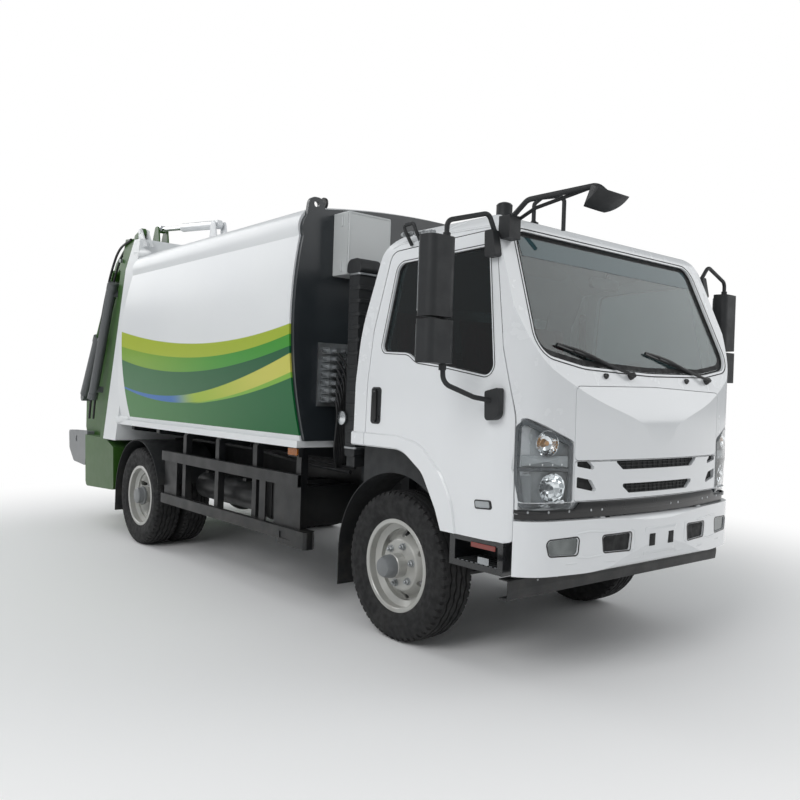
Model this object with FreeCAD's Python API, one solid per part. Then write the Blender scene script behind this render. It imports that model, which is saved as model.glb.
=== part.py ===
"""Rear-loading garbage truck on a forward-control light-truck chassis.

Millimetres, +X forward, +Y to the truck's left, +Z up, standing on z = 0.
Pieces are built with x measured from the front axle and moved to the row's
frame, whose origin is the bottom centre of the whole truck, when written.
"""
import FreeCAD, Part
import math
import os

V = FreeCAD.Vector

# Overall places, x from the front axle
row_origin_x = -1981.5
wheelbase = 3365.0
fit_gap = 5.0
seat_gap = 0.3

# Wheels
tyre_radius = 420.0
tyre_width = 236.0
bead_radius = 248.0
rim_flange_radius = 262.0
rim_width = 196.0
front_wheel_y = 800.0
rear_outer_wheel_y = 930.0
twin_spacing = 262.0
disc_thickness = 14.0
stud_circle = 222.0
hub_radius = 82.0
spindle_radius = 32.0
running_clearance = 0.06
hand_hole_circle = 352.0

# Steering
kingpin_y = 690.0
kingpin_radius = 20.0
kingpin_eye_radius = 42.0

# Ladder frame
rail_outer_y = 425.0
rail_flange = 65.0
rail_height = 210.0
rail_wall = 8.0
frame_top_z = 800.0
frame_front_x = 900.0
frame_rear_x = -3900.0
crossmember_x = (840.0, -1350.0, -2150.0, -2850.0, -3840.0)
crossmember_height = 150.0
subframe_height = 110.0
subframe_width = 60.0
bearer_width = 60.0
bearer_pitch = 560.0

# Springs and axles
spring_width = 65.0
hanger_plate = 12.0
front_spring_y = rail_outer_y - spring_width / 2.0
rear_spring_y = rail_outer_y + hanger_plate + spring_width / 2.0
spring_leaf = 11.0
spring_leaves = 5
front_spring_span = 1180.0
rear_spring_span = 940.0
front_beam_height = 80.0
front_beam_width = 90.0
front_beam_drop = 70.0
axle_tube_radius = 62.0
diff_radius = 190.0

# Load body
body_front_x = -780.0
body_floor_z = 1070.0
body_roof_z = 2612.0
body_half_floor = 1050.0
body_half_waist = 1152.0
body_half_shoulder = 1104.0
body_waist_z = 1690.0
body_shoulder_z = 2345.0
body_edge_z = 2530.0
body_edge_half = 1010.0
body_wall = 42.0
body_rear_low_x = -3790.0
body_rear_high_x = -3440.0
sill_height = 44.0

# Rear frame of the load body and the sealing line of the tailgate
frame_half_width = 1080.0
frame_bottom_z = 870.0
fairing_sides = 12
fairing_low = ((-3835.0, -1040.0, 1060.0), (-3610.0, -1052.0, 1080.0), 52.0, 20.0)
fairing_high = ((-3520.0, -1030.0, 2560.0), (-3250.0, -1052.0, 2528.0), 56.0, 18.0)
seal_low = (-4165.0, 870.0)
seal_knee = (-3717.0, 2427.0)
seal_high = (-3526.0, 2672.0)

# Tailgate and its hinge
tail_half_width = 1056.0
tail_plate = 46.0
tail_hinge = (-3500.0, 2745.0)
tail_hinge_pin_radius = 22.0
tail_bottom_z = 366.0

# Packing mechanism: the slide's guide line and the blade
slide_foot = (-4930.0, 1250.0)
slide_direction = (0.53, 0.848)
slide_barrel_length = 700.0
slide_barrel_foot = 70.0
slide_barrel_radius = 46.0
slide_rod_radius = 26.0
slide_open_length = 1380.0
slide_stroke = 560.0
slide_cylinder_y = 1014.0
blade_hinge = (-4330.0, 1760.0)
blade_tube_radius = 46.0
blade_pin_radius = 22.0
blade_lug_width = 36.0
blade_length = 515.0
packer_side_gap = 14.0

# Bin lifter
lifter_axis = (-5075.0, 812.0)
lifter_shaft_radius = 30.0

# Tailgate lift cylinders on the body roof
lift_y = 760.0
lift_base = (-2560.0, 2720.0)
lift_eye = (-3700.0, 2835.0)
lift_barrel_radius = 36.0
lift_rod_radius = 20.0
lift_barrel_length = 640.0

# Push plate inside the load body
push_plate_x = -892.0
push_plate_gap = 12.0

# Cab
cab_half_width = 1000.0
cab_wall = 58.0
cab_rear_low_x = -302.0
cab_floor_z = 1128.0
arch_top_z = 1082.0
guard_face_y = 914.0            # outer face of the front mudguard, inside the doors
lip_height = 9.0
cab_sill_z = 700.0
cab_front_low_z = 838.0
cab_front_x = 1092.0
cab_front_radius = 3807.0
cab_corner_radius = 260.0
cab_pivot = (1045.0, 790.0)
cab_pivot_radius = 12.0
cab_lug_radius = 22.0
cab_lug_width = 36.0
door_seam = 5.0
door_hinge = (896.0, 966.0)
door_inner_y = 846.0
door_front_x = 912.0
glass_thickness = 6.0
glass_depth = 22.0
panel_depth = 20.0
panel_seam = 3.0
lamp_rear_x = 930.0

# Front bumper and underrun guard
bumper_front_x = 1110.0
bumper_low_z = 546.0
bumper_top_z = 806.0
bumper_top_radius = 40.0
bumper_wall = 48.0
plate_hole_y = 80.0
plate_hole_z = (618.0, 729.0)
plate_hole_radius = 6.0
bumper_end_x = 922.0
underrun_x = 900.0
underrun_half = 950.0

# Side guards and what hangs on the rails
guard_y = 1040.0
guard_depth = 40.0
guard_rail_height = 78.0
guard_posts = ((-2886.0, -2650.0), (-1328.0, -1248.0), (-1129.0, -810.0))
guard_low_z = 424.0
guard_high_z = 852.0
guard_front_x = -808.0
guard_rear_x = -2888.0

# Driveline and vessels under the frame
gearbox_rear_x = -1180.0
shaft_front_z = 556.0
joint_length = 70.0
joint_radius = 48.0
nose_reach = 330.0
air_tank_ends = (-2520.0, -1560.0)
air_tank_rows = (560.0, 800.0)
air_tank_radius = 105.0
air_tank_z = 600.0

# Mirrors carried by the doors
mirror_x = 720.0
mirror_y = 1300.0
mirror_width = 185.0
mirror_depth = 90.0

os.makedirs("parts", exist_ok=True)


def at(plane, u, v, w):
    """Point of a flat drawing: u and v lie in the plane, w is across it."""
    if plane == "xz":
        return V(u, w, v)
    if plane == "yz":
        return V(w, u, v)
    return V(u, v, w)


def outline(points, plane, across):
    """Closed wire through (u, v) or (u, v, radius) corners."""
    corners = []
    count = len(points)
    for index, point in enumerate(points):
        before = points[index - 1]
        after = points[(index + 1) % count]
        radius = point[2] if len(point) > 2 else 0.0
        here = V(point[0], point[1], 0)
        back = V(before[0], before[1], 0) - here
        ahead = V(after[0], after[1], 0) - here
        if radius <= 0:
            corners.append((here, None, here))
            continue
        half = back.getAngle(ahead) / 2.0
        reach = radius / math.tan(half)
        reach = min(reach, 0.49 * back.Length, 0.49 * ahead.Length)
        radius = reach * math.tan(half)
        start = here + back.normalize() * reach
        end = here + ahead.normalize() * reach
        middle = start + end - here * 2.0
        middle.normalize()
        apex = here + middle * (radius / math.sin(half) - radius)
        corners.append((start, apex, end))
    edges = []
    for index, corner in enumerate(corners):
        following = corners[(index + 1) % count]
        start, apex, end = [None if p is None else at(plane, p.x, p.y, across) for p in corner]
        if apex is not None:
            edges.append(Part.Arc(start, apex, end).toShape())
        nxt = at(plane, following[0].x, following[0].y, across)
        if (nxt - end).Length > 0.001:
            edges.append(Part.LineSegment(end, nxt).toShape())
    return Part.Wire(edges)


def prism(points, plane, low, high):
    """Straight solid on a rounded outline between two levels across its plane."""
    face = Part.Face(outline(points, plane, low))
    return face.extrude(at(plane, 0, 0, high - low))


def box(x0, x1, y0, y1, z0, z1):
    low = V(min(x0, x1), min(y0, y1), min(z0, z1))
    return Part.makeBox(abs(x1 - x0), abs(y1 - y0), abs(z1 - z0), low)


def rod(start, end, radius):
    axis = V(*end) - V(*start)
    return Part.makeCylinder(radius, axis.Length, V(*start), axis)


def tube(start, end, outer, inner):
    axis = V(*end) - V(*start)
    bore_start = V(*start) - V(axis).normalize() * 1.0
    bore = Part.makeCylinder(inner, axis.Length + 2.0, bore_start, axis)
    return rod(start, end, outer).cut(bore)


def bent_bar(points, radius, bend):
    """Round bar along straight runs joined by tangent arcs."""
    pts = [V(*p) for p in points]
    edges = []
    cursor = pts[0]
    for index in range(1, len(pts) - 1):
        back = (pts[index - 1] - pts[index])
        ahead = (pts[index + 1] - pts[index])
        half = back.getAngle(ahead) / 2.0
        reach = min(bend / math.tan(half), 0.45 * back.Length, 0.45 * ahead.Length)
        arc_radius = reach * math.tan(half)
        start = pts[index] + V(back).normalize() * reach
        end = pts[index] + V(ahead).normalize() * reach
        middle = (start + end) * 0.5 - pts[index]
        middle.normalize()
        apex = pts[index] + middle * (arc_radius / math.sin(half) - arc_radius)
        edges.append(Part.LineSegment(cursor, start).toShape())
        edges.append(Part.Arc(start, apex, end).toShape())
        cursor = end
    edges.append(Part.LineSegment(cursor, pts[-1]).toShape())
    path = Part.Wire(edges)
    ring = Part.Circle(pts[0], pts[1] - pts[0], radius).toShape()
    return path.makePipe(Part.Face(Part.Wire(ring)))


def mirrored(shape):
    return shape.mirror(V(0, 0, 0), V(0, 1, 0))


def both_sides(shape):
    return [shape, mirrored(shape)]


def fuse(shapes):
    whole = shapes[0]
    if len(shapes) > 1:
        whole = whole.fuse(shapes[1:])
    return whole.removeSplitter()


def write(name, shapes):
    """Write one node; a list keeps its solids apart."""
    group = shapes if isinstance(shapes, list) else [shapes]
    solids = [solid for shape in group for solid in shape.Solids]
    moved = []
    for solid in solids:
        copy = solid.copy()
        copy.translate(V(-row_origin_x, 0, 0))
        moved.append(copy)
    whole = moved[0] if len(moved) == 1 else Part.makeCompound(moved)
    whole.exportStep("parts/" + name + ".step")


# Ladder frame, subframe and brackets

def rail_channel():
    """Pressed C-section side rail, open towards the truck's middle."""
    inner_y = rail_outer_y - rail_flange
    low_z = frame_top_z - rail_height
    solid = box(frame_rear_x, frame_front_x, inner_y, rail_outer_y, low_z, frame_top_z)
    hollow = box(frame_rear_x - 1, frame_front_x + 1, inner_y - 1, rail_outer_y - rail_wall,
                 low_z + rail_wall, frame_top_z - rail_wall)
    return solid.cut(hollow)


def chassis_frame():
    pieces = both_sides(rail_channel())
    inner_y = rail_outer_y - rail_wall
    low_z = frame_top_z - rail_height + rail_wall
    for x in crossmember_x:
        top_z = low_z + crossmember_height
        member = box(x - 45, x + 45, -inner_y, inner_y, low_z, top_z)
        member = member.cut(box(x - 45 + rail_wall, x + 46, -inner_y - 1, inner_y + 1,
                                low_z + rail_wall, top_z - rail_wall))
        pieces.append(member)
    return fuse(pieces)


def subframe():
    """Long members on the rails and the cross bearers under the load floor."""
    long_top = frame_top_z + subframe_height
    front_x = body_front_x - 20.0
    rear_x = body_end_x(frame_bottom_z)
    pieces = []
    centre_y = rail_outer_y - subframe_width / 2.0
    for side in (-1, 1):
        pieces.append(box(rear_x, front_x, side * (centre_y - subframe_width / 2),
                          side * (centre_y + subframe_width / 2), frame_top_z, long_top))
    bearer_top = body_floor_z - sill_height
    count = int((front_x - rear_x) // bearer_pitch)
    for index in range(count + 1):
        x = front_x - 60.0 - index * bearer_pitch
        profile = [(-body_half_floor + 60, bearer_top), (-body_half_floor + 60, bearer_top - 45),
                   (-rail_outer_y, long_top), (rail_outer_y, long_top),
                   (body_half_floor - 60, bearer_top - 45), (body_half_floor - 60, bearer_top)]
        pieces.append(prism(profile, "yz", x - bearer_width / 2, x + bearer_width / 2))
    return fuse(pieces)


def cab_mount():
    """Two hinge brackets at the front of the rails that carry the tilting cab."""
    x, z = cab_pivot
    r = cab_lug_radius
    bracket = prism([(frame_front_x - 160, frame_top_z - rail_height), (frame_front_x + 60, z - 130, 60),
                     (x - 4, z - r, 20), (x + r - 2, z - 14, 16), (x + r - 2, z + 14, 16), (x - 20, z + r, 20),
                     (frame_front_x - 20, frame_top_z - 20, 60), (frame_front_x - 160, frame_top_z - 20)],
                    "xz", rail_outer_y - 40, rail_outer_y)
    pin = rod((x, rail_outer_y - 1, z), (x, rail_outer_y + fit_gap + cab_lug_width + 8, z), cab_pivot_radius)
    return fuse([bracket, pin])


# Axles and springs

def front_axle():
    """Forged I-beam, dropped in the middle, with a fork eye at each kingpin."""
    half = front_beam_height / 2.0
    drop = front_beam_drop
    z = tyre_radius
    inner = kingpin_y - kingpin_eye_radius - 6
    profile = [(-inner, z + half), (-inner, z - half), (-inner + 130, z - half - drop, 40),
               (inner - 130, z - half - drop, 40), (inner, z - half), (inner, z + half),
               (inner - 150, z + half - drop, 40), (-inner + 150, z + half - drop, 40)]
    beam = prism(profile, "yz", -front_beam_width / 2, front_beam_width / 2)
    web = front_beam_width / 2 - 14
    for side in (-1, 1):
        slot = [(-420, z + half - drop - 16, 8), (-420, z - half - drop + 16, 8),
                (420, z - half - drop + 16, 8), (420, z + half - drop - 16, 8)]
        beam = beam.cut(prism(slot, "yz", side * web, side * (web + 30)))
    for side in (-1, 1):
        eye = rod((0, side * kingpin_y, z - half), (0, side * kingpin_y, z + half), kingpin_eye_radius)
        neck = box(-front_beam_width / 2, front_beam_width / 2, side * (inner - 4),
                   side * (kingpin_y - 20), z - half, z + half)
        bore = rod((0, side * kingpin_y, z - half - 1), (0, side * kingpin_y, z + half + 1),
                   kingpin_radius + running_clearance)
        beam = beam.fuse([eye, neck]).cut(bore)
    return beam.removeSplitter()


def rear_axle():
    """Banjo housing with the final drive bowl, tubes and wheel spindles."""
    x = -wheelbase
    z = tyre_radius
    inner_wheel_y = rear_outer_wheel_y - twin_spacing
    tube_end = inner_wheel_y - tyre_width / 2 - 20
    spindle_end = rear_outer_wheel_y + 20
    bowl = Part.makeSphere(diff_radius, V(x, 0, z))
    bowl = bowl.common(box(x - 170, x + 150, -diff_radius, diff_radius, z - diff_radius, z + diff_radius))
    nose = Part.makeCone(120, 62, nose_reach - 120, V(x + 120, 0, z), V(1, 0, 0))
    housing = [bowl, nose, rod((x, -tube_end, z), (x, tube_end, z), axle_tube_radius)]
    for side in (-1, 1):
        housing.append(rod((x, side * (tube_end - 10), z), (x, side * spindle_end, z), spindle_radius + 8))
    return fuse(housing)


def leaf_pack(x, y, span, axle_z, axle_half):
    """Curved leaves, longest on top, clamped to a pad on the axle."""
    sag = span * 0.055
    radius = (span * span / 4 + sag * sag) / (2 * sag)
    base_z = axle_z + axle_half + 8
    pieces = []
    for index in range(spring_leaves):
        half = span / 2 * (1.0 - 0.16 * index)
        top = base_z + spring_leaf * (spring_leaves - index)
        low = top - spring_leaf
        reach = math.asin(half / (radius))
        rise = radius * (1 - math.cos(reach))
        upper = Part.Arc(V(x - half, 0, top + rise), V(x, 0, top), V(x + half, 0, top + rise)).toShape()
        lower = Part.Arc(V(x + half, 0, low + rise), V(x, 0, low), V(x - half, 0, low + rise)).toShape()
        ends = [Part.LineSegment(V(x + half, 0, top + rise), V(x + half, 0, low + rise)).toShape(),
                Part.LineSegment(V(x - half, 0, low + rise), V(x - half, 0, top + rise)).toShape()]
        face = Part.Face(Part.Wire([upper, ends[0], lower, ends[1]]))
        leaf = face.extrude(V(0, spring_width, 0))
        leaf.translate(V(0, y - spring_width / 2, 0))
        pieces.append(leaf)
    half_width = spring_width / 2
    pad = box(x - 55, x + 55, y - half_width, y + half_width, axle_z + axle_half + seat_gap, base_z + 4)
    cap_z = base_z + spring_leaf * spring_leaves
    cap = box(x - 60, x + 60, y - spring_width / 2 - 8, y + spring_width / 2 + 8, cap_z - 4, cap_z + 16)
    pieces += [pad, cap]
    eye_half = span / 2
    eye_z = base_z + spring_leaf * spring_leaves + radius * (1 - math.cos(math.asin(eye_half / radius)))
    for end in (-1, 1):
        pieces.append(rod((x + end * eye_half, y - spring_width / 2, eye_z - 8),
                          (x + end * eye_half, y + spring_width / 2, eye_z - 8), 24))
    return fuse(pieces), eye_z - 8


def spring_hanger(x, y, eye_z):
    """Bracket from a rail down to a spring eye."""
    low = frame_top_z - rail_height
    corners = [(x - 70, low + 60), (x - 34, eye_z - 20, 20), (x + 34, eye_z - 20, 20), (x + 70, low + 60)]
    return prism(corners, "xz", y - hanger_plate / 2, y + hanger_plate / 2)


def springs_and_hangers():
    result = []
    front, front_eye = leaf_pack(0.0, front_spring_y, front_spring_span,
                                 tyre_radius - front_beam_drop, front_beam_height / 2)
    rear, rear_eye = leaf_pack(-wheelbase, rear_spring_y, rear_spring_span, tyre_radius, axle_tube_radius)
    for pack, x, y, span, eye in ((front, 0.0, front_spring_y, front_spring_span, front_eye),
                                  (rear, -wheelbase, rear_spring_y, rear_spring_span, rear_eye)):
        pieces = [pack]
        reach = (spring_width + hanger_plate) / 2
        for end in (-1, 1):
            for face in (-1, 1):
                pieces.append(spring_hanger(x + end * span / 2, y + face * reach, eye))
        whole = fuse(pieces)
        result += both_sides(whole)
    return result


# Wheels

def tyre(centre_x, centre_y):
    """Tyre section turned about the wheel's axis."""
    half = tyre_width / 2
    tread = half - 18
    z = tyre_radius
    r = tyre_radius
    b = bead_radius
    rim_half = rim_width / 2 - 9.5
    outboard = [(tread, r), (half - 3, r - 26), (half, r - 72), (rim_half, b + 16), (rim_half, b),
                (rim_half - 26, b), (half - 34, r - 80)]
    profile = outboard + [(-y, radius) for y, radius in reversed(outboard)]
    wire = outline(profile, "yz", 0.0)
    solid = Part.Face(wire).revolve(V(0, 0, 0), V(0, 1, 0), 360)
    solid.translate(V(centre_x, centre_y, z))
    return solid


def rim(dish, spindle):
    """Steel rim and disc: dish is the disc's place from the rim's middle, outboard +Y."""
    half = rim_width / 2
    b = bead_radius - 0.4
    flange = rim_flange_radius
    tyre_side = [(half - 72, b - 34), (half - 52, b - 4), (half - 9, b), (half - 9, flange - 3),
                 (half - 6, flange), (half - 3, flange), (half, flange - 3)]
    hub_side = [(half, b - 9), (half - 4, b - 13), (half - 46, b - 14), (half - 66, b - 46)]
    outboard = tyre_side + hub_side
    section = outboard + [(-y, radius) for y, radius in reversed(outboard)]
    barrel = Part.Face(outline(section, "yz", 0.0)).revolve(V(0, 0, 0), V(0, 1, 0), 360)
    t = disc_thickness
    well = b - 40
    face = stud_circle / 2 + 34
    lip = dish - 62 if dish > 0 else dish + 62
    way = 1.0 if dish > 0 else -1.0
    disc_profile = [(dish, spindle), (dish, face - 8), (dish - way * 5, face), (lip + way * 8, well - 28),
                    (lip, well - 16), (lip, well), (lip - t, well), (lip - t, well - 18),
                    (lip + way * 8 - t, well - 32), (dish - way * 5 - t, face - 4), (dish - t, face - 11),
                    (dish - t, spindle)]
    disc = Part.Face(outline(disc_profile, "yz", 0.0)).revolve(V(0, 0, 0), V(0, 1, 0), 360)
    for index in range(6):
        angle = math.radians(30 + 60 * index)
        c = V(math.cos(angle), 0, math.sin(angle))
        middle = c * (hand_hole_circle / 2)
        hole = Part.makeCylinder(23, 200, V(middle.x, dish - 130, middle.z), V(0, 1, 0))
        disc = disc.cut(hole)
    return fuse([barrel, disc])


def wheel_hub(dish, length_in, length_out, spindle):
    """Hub drum inside the disc and the cap standing out of it."""
    inner = rod((0, dish - disc_thickness - length_in, 0), (0, dish - disc_thickness, 0), hub_radius + 34)
    nose = rod((0, dish - disc_thickness - 1, 0), (0, dish + length_out, 0), hub_radius - 14)
    cap = Part.makeCone(hub_radius - 14, hub_radius - 40, 26, V(0, dish + length_out, 0), V(0, 1, 0))
    bore = rod((0, dish - disc_thickness - length_in - 1, 0), (0, dish + length_out - 10, 0),
               spindle + running_clearance)
    return inner.fuse([nose, cap]).cut(bore).removeSplitter()


def front_rim():
    disc = 62.0
    return fuse([rim(disc, hub_radius - 20), wheel_hub(disc, 66, 58, spindle_radius)])


def rear_rims():
    """Two rims back to back, disc to disc, on one hub."""
    outer = rim(-42.0, hub_radius - 20)
    inner = rim(42.0 + disc_thickness, hub_radius - 20)
    inner.translate(V(0, -twin_spacing, 0))
    hub = wheel_hub(-42.0, 176, 96, spindle_radius + 8)
    return fuse([outer, hub]), inner


def place_wheel(shape, x, y):
    """Set a wheel piece, drawn with outboard +Y, on the left or the right side."""
    piece = shape.copy() if y > 0 else mirrored(shape)
    piece.translate(V(x, y, tyre_radius))
    return piece


def knuckle():
    """Left steering knuckle: fork over the axle eye, spindle and steering arm."""
    z = tyre_radius
    half = front_beam_height / 2 + fit_gap
    y = kingpin_y
    ear = 24.0
    pieces = []
    for low in (z + half, z - half - ear):
        pieces.append(rod((0, y, low), (0, y, low + ear), kingpin_eye_radius - 4))
        pieces.append(box(-34, 34, y, y + kingpin_eye_radius + 30, low, low + ear))
    pieces.append(box(-34, 34, y + kingpin_eye_radius + 6, y + kingpin_eye_radius + 30,
                      z - half - ear, z + half + ear))
    pieces.append(rod((0, y, z - half - ear - 6), (0, y, z + half + ear + 6), kingpin_radius))
    spindle_start = y + kingpin_eye_radius + 10
    pieces.append(rod((0, spindle_start, z), (0, front_wheel_y + 104, z), spindle_radius))
    arm = prism([(-30, y + 60), (-30, y + 20, 10), (-190, y - 40, 16), (-206, y - 4, 16), (-60, y + 74, 10)],
                "xy", z - half - ear, z - half)
    pieces.append(arm)
    return fuse(pieces)


# Load body

def body_section(inset, low_z):
    """Bowed sides, tight shoulders and a crowned roof: half section made whole."""
    waist = body_half_waist - inset
    foot = body_half_floor - inset
    shoulder = body_half_shoulder - inset
    edge = body_edge_half - inset
    edge_z = body_edge_z - inset
    top_z = body_roof_z - inset
    points_right = [V(0, -foot, low_z), V(0, -waist, body_waist_z), V(0, -shoulder, body_shoulder_z)]
    side = Part.Arc(points_right[0], points_right[1], points_right[2]).toShape()
    corner_mid = V(0, -(shoulder - 22), edge_z - 44)
    corner = Part.Arc(points_right[2], corner_mid, V(0, -edge, edge_z)).toShape()
    roof = Part.Arc(V(0, -edge, edge_z), V(0, 0, top_z), V(0, edge, edge_z)).toShape()
    left_mid = V(0, -corner_mid.y, corner_mid.z)
    corner_left = Part.Arc(V(0, edge, edge_z), left_mid, V(0, shoulder, body_shoulder_z))
    side_left = Part.Arc(V(0, shoulder, body_shoulder_z), V(0, waist, body_waist_z), V(0, foot, low_z))
    floor = Part.LineSegment(V(0, foot, low_z), V(0, -foot, low_z)).toShape()
    return Part.Wire([side, corner, roof, corner_left.toShape(), side_left.toShape(), floor])


def along_x(wire, x0, x1):
    face = Part.Face(wire)
    face.translate(V(min(x0, x1), 0, 0))
    return face.extrude(V(abs(x1 - x0), 0, 0))


def body_end_x(z):
    """Rear end of the body shell at height z, on its leaning joint with the frame."""
    share = (z - body_floor_z) / (body_shoulder_z + 150 - body_floor_z)
    return body_rear_low_x + share * (body_rear_high_x - body_rear_low_x)


def rear_cut():
    """Everything behind the leaning rear end of the body shell."""
    low_z = body_floor_z - 400
    high_z = body_roof_z + 400
    return prism([(body_end_x(low_z), low_z), (body_end_x(high_z), high_z),
                  (body_rear_low_x - 1500, high_z), (body_rear_low_x - 1500, low_z)], "xz", -1400, 1400)


def load_body():
    shell = along_x(body_section(0.0, body_floor_z), body_rear_low_x - 60, body_front_x)
    hollow = along_x(body_section(body_wall, body_floor_z + body_wall), body_rear_low_x - 80,
                     body_front_x - body_wall)
    sill_low_z = body_floor_z - sill_height
    sill = prism([(body_rear_low_x - 20, sill_low_z), (body_front_x, sill_low_z, 14),
                  (body_front_x, body_floor_z), (body_rear_low_x - 20, body_floor_z)],
                 "xz", -body_half_floor - 22, body_half_floor + 22)
    return shell.fuse(sill).cut(hollow).cut(rear_cut()).removeSplitter()


def front_bulkhead():
    """Dark front wall of the load body with its folded foot and lifting eye."""
    section = body_section(12.0, body_floor_z)
    wall = along_x(section, body_front_x, body_front_x + 34)
    foot = box(body_front_x, body_front_x + 34, -560, 560, frame_top_z, body_floor_z + 10)
    eye_x = body_front_x + 17
    eye_y = -body_edge_half + 10
    plate = prism([(eye_y - 70, body_edge_z - 60), (eye_y - 52, body_edge_z + 64, 50),
                   (eye_y + 52, body_edge_z + 64, 50), (eye_y + 70, body_edge_z - 60)],
                  "yz", eye_x - 14, eye_x + 14)
    hole = rod((eye_x - 20, eye_y, body_edge_z + 22), (eye_x + 20, eye_y, body_edge_z + 22), 20)
    plates = [plate.cut(hole), mirrored(plate.cut(hole))]
    return fuse([wall, foot] + plates)


def seal_line(shift):
    """Corners of the leaning rear line of the frame, moved back by shift."""
    return [(seal_low[0] - shift, seal_low[1]), (seal_knee[0] - shift, seal_knee[1]),
            (seal_high[0] - shift, seal_high[1])]


def rear_frame():
    """White ring frame that closes the body shell and takes the tailgate."""
    low, knee, high = seal_line(0.0)
    outer = prism([(body_end_x(frame_bottom_z) - 10, frame_bottom_z, 20), low, knee, high,
                   (body_end_x(high[1]) + 60, high[1] - 10, 30), (body_end_x(2200), 2200)],
                  "xz", -frame_half_width, frame_half_width)
    front_cut = prism([(body_end_x(500), 500), (body_end_x(2900), 2900), (0, 2900), (0, 500)],
                      "xz", -1400, 1400)
    outer = outer.cut(front_cut)
    inner_half = body_half_floor - body_wall
    hollow = box(-4600, -3000, -inner_half, inner_half, body_floor_z + body_wall, 2520)
    return outer.cut(hollow).removeSplitter()


def corner_fairing(side, place):
    """Flared fairing between the bowed side and the flat frame, at one corner."""
    rear, front, radius, tip = place
    axis = V(*front) - V(*rear)
    length = axis.Length
    axis.normalize()
    across = axis.cross(V(0, 0, 1)).normalize()
    upward = across.cross(axis)
    rings = []
    for along, size in ((-radius * 0.4, radius * 0.6), (0, radius), (length, tip), (length + tip * 0.6, tip * 0.5)):
        centre = V(*rear) + axis * along
        corners = []
        for k in range(fairing_sides):
            turn = 2 * math.pi * k / fairing_sides
            corners.append(centre + across * (size * math.cos(turn)) + upward * (size * math.sin(turn)))
        rings.append(Part.makePolygon(corners + [corners[0]]))
    fairing = Part.makeLoft(rings, True, True)
    return fairing if side < 0 else mirrored(fairing)


# Tailgate

def tail_side_outline():
    return [(-3534.0, 2690.0, 20), (-3725.0, 2427.0), (-4173.0, 872.0), (-3960.0, 800.0, 20),
            (-3925.0, tail_bottom_z + 40, 30), (-4690.0, tail_bottom_z, 60), (-4790.0, 560.0, 60),
            (-5010.0, 940.0, 30), (-5022.0, 1294.0, 60), (-4814.0, 1724.0), (-4560.0, 2208.0),
            (-4288.0, 2560.0, 60), (-3989.0, 2735.0, 40)]


def slide_point(distance):
    return (slide_foot[0] + slide_direction[0] * distance, slide_foot[1] + slide_direction[1] * distance)


def guide_slot(clearance):
    """Slot of the side plates that the slide's ears run in."""
    ear = 46.0
    low = slide_point(slide_open_length - slide_stroke - ear - clearance)
    high = slide_point(slide_open_length + ear + clearance)
    nx = -slide_direction[1]
    nz = slide_direction[0]
    half = 34.0 + clearance
    corners = [(low[0] + nx * half, low[1] + nz * half, 20), (high[0] + nx * half, high[1] + nz * half, 20),
               (high[0] - nx * half, high[1] - nz * half, 20), (low[0] - nx * half, low[1] - nz * half, 20)]
    return prism(corners, "xz", -1400, 1400)


def tailgate_shell():
    """Side plates, roof, round trough and loading sill of the tailgate, open front and rear."""
    half = tail_half_width - 96
    plates = []
    slot = guide_slot(12.0)
    for side in (-1, 1):
        plate = prism(tail_side_outline(), "xz", side * (half - tail_plate), side * half)
        plates.append(plate.cut(slot))
    inner = half - tail_plate
    roof = prism([(-3560, 2640), (-3560, 2690, 10), (-3989, 2728, 20), (-4288, 2556), (-4270, 2516),
                  (-3980, 2680, 20)], "xz", -inner - 1, inner + 1)
    floor_z = tail_bottom_z + 34
    trough = prism([(-3948, 798), (-3932, floor_z + 10, 60), (-4400, floor_z - 12, 200), (-4690, floor_z, 120),
                    (-4800, 580, 60), (-5005, 930, 10), (-4985, 940, 6), (-4776, 590, 60),
                    (-4672, floor_z + 26, 120), (-4400, floor_z + 14, 200), (-3958, floor_z + 36, 60),
                    (-3974, 798)], "xz", -inner - 1, inner + 1)
    sill = prism([(-3950, 770), (-3950, 798), (-4060, 826), (-4178, 859), (-4122, 1060, 12), (-4166, 1060, 12),
                  (-4224, 846), (-4060, 800)], "xz", -inner - 1, inner + 1)
    return fuse(plates + [roof, trough, sill])


def tailgate_posts():
    """Proud front post and hinge ear of each tailgate side."""
    inner = tail_half_width - 96
    post = prism([(-3534, 2690, 12), (-3725, 2427), (-4173, 872), (-4310, 872), (-4310, 1000),
                  (-3990, 2060), (-3905, 2440), (-3800, 2712, 12)], "xz", -tail_half_width, -inner)
    low_skin = prism([(-3960, 800, 20), (-3925, tail_bottom_z + 40, 30), (-4690, tail_bottom_z, 60),
                      (-4740, 872), (-4173, 872)], "xz", -tail_half_width, -inner)
    x, z = tail_hinge
    ear = prism([(-3600, 2660), (x + 10, z - 40, 20), (x + 38, z + 4, 36), (x, z + 38, 36), (-3700, 2725, 20)],
                "xz", -tail_half_width + 30, -tail_half_width + 62)
    side = fuse([post, low_skin])
    ear = ear.cut(rod((x, -1200, z), (x, -900, z), tail_hinge_pin_radius + running_clearance))
    return [fuse([side, ear]), mirrored(fuse([side, ear]))]


def hinge_brackets():
    """Clevis ears on the body frame that hold the tailgate's pin."""
    x, z = tail_hinge
    pieces = []
    for offset in (-tail_half_width + 12, -tail_half_width + 30 + 32 + fit_gap):
        plate = prism([(x - 24, 2600), (x - 30, z - 10, 20), (x, z + 34, 30), (x + 34, z + 6, 30),
                       (x + 150, 2600)], "xz", offset, offset + 13)
        pieces.append(plate)
    pin = rod((x, -tail_half_width + 6, z), (x, -tail_half_width + 92, z), tail_hinge_pin_radius)
    return fuse(pieces + [pin])


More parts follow.
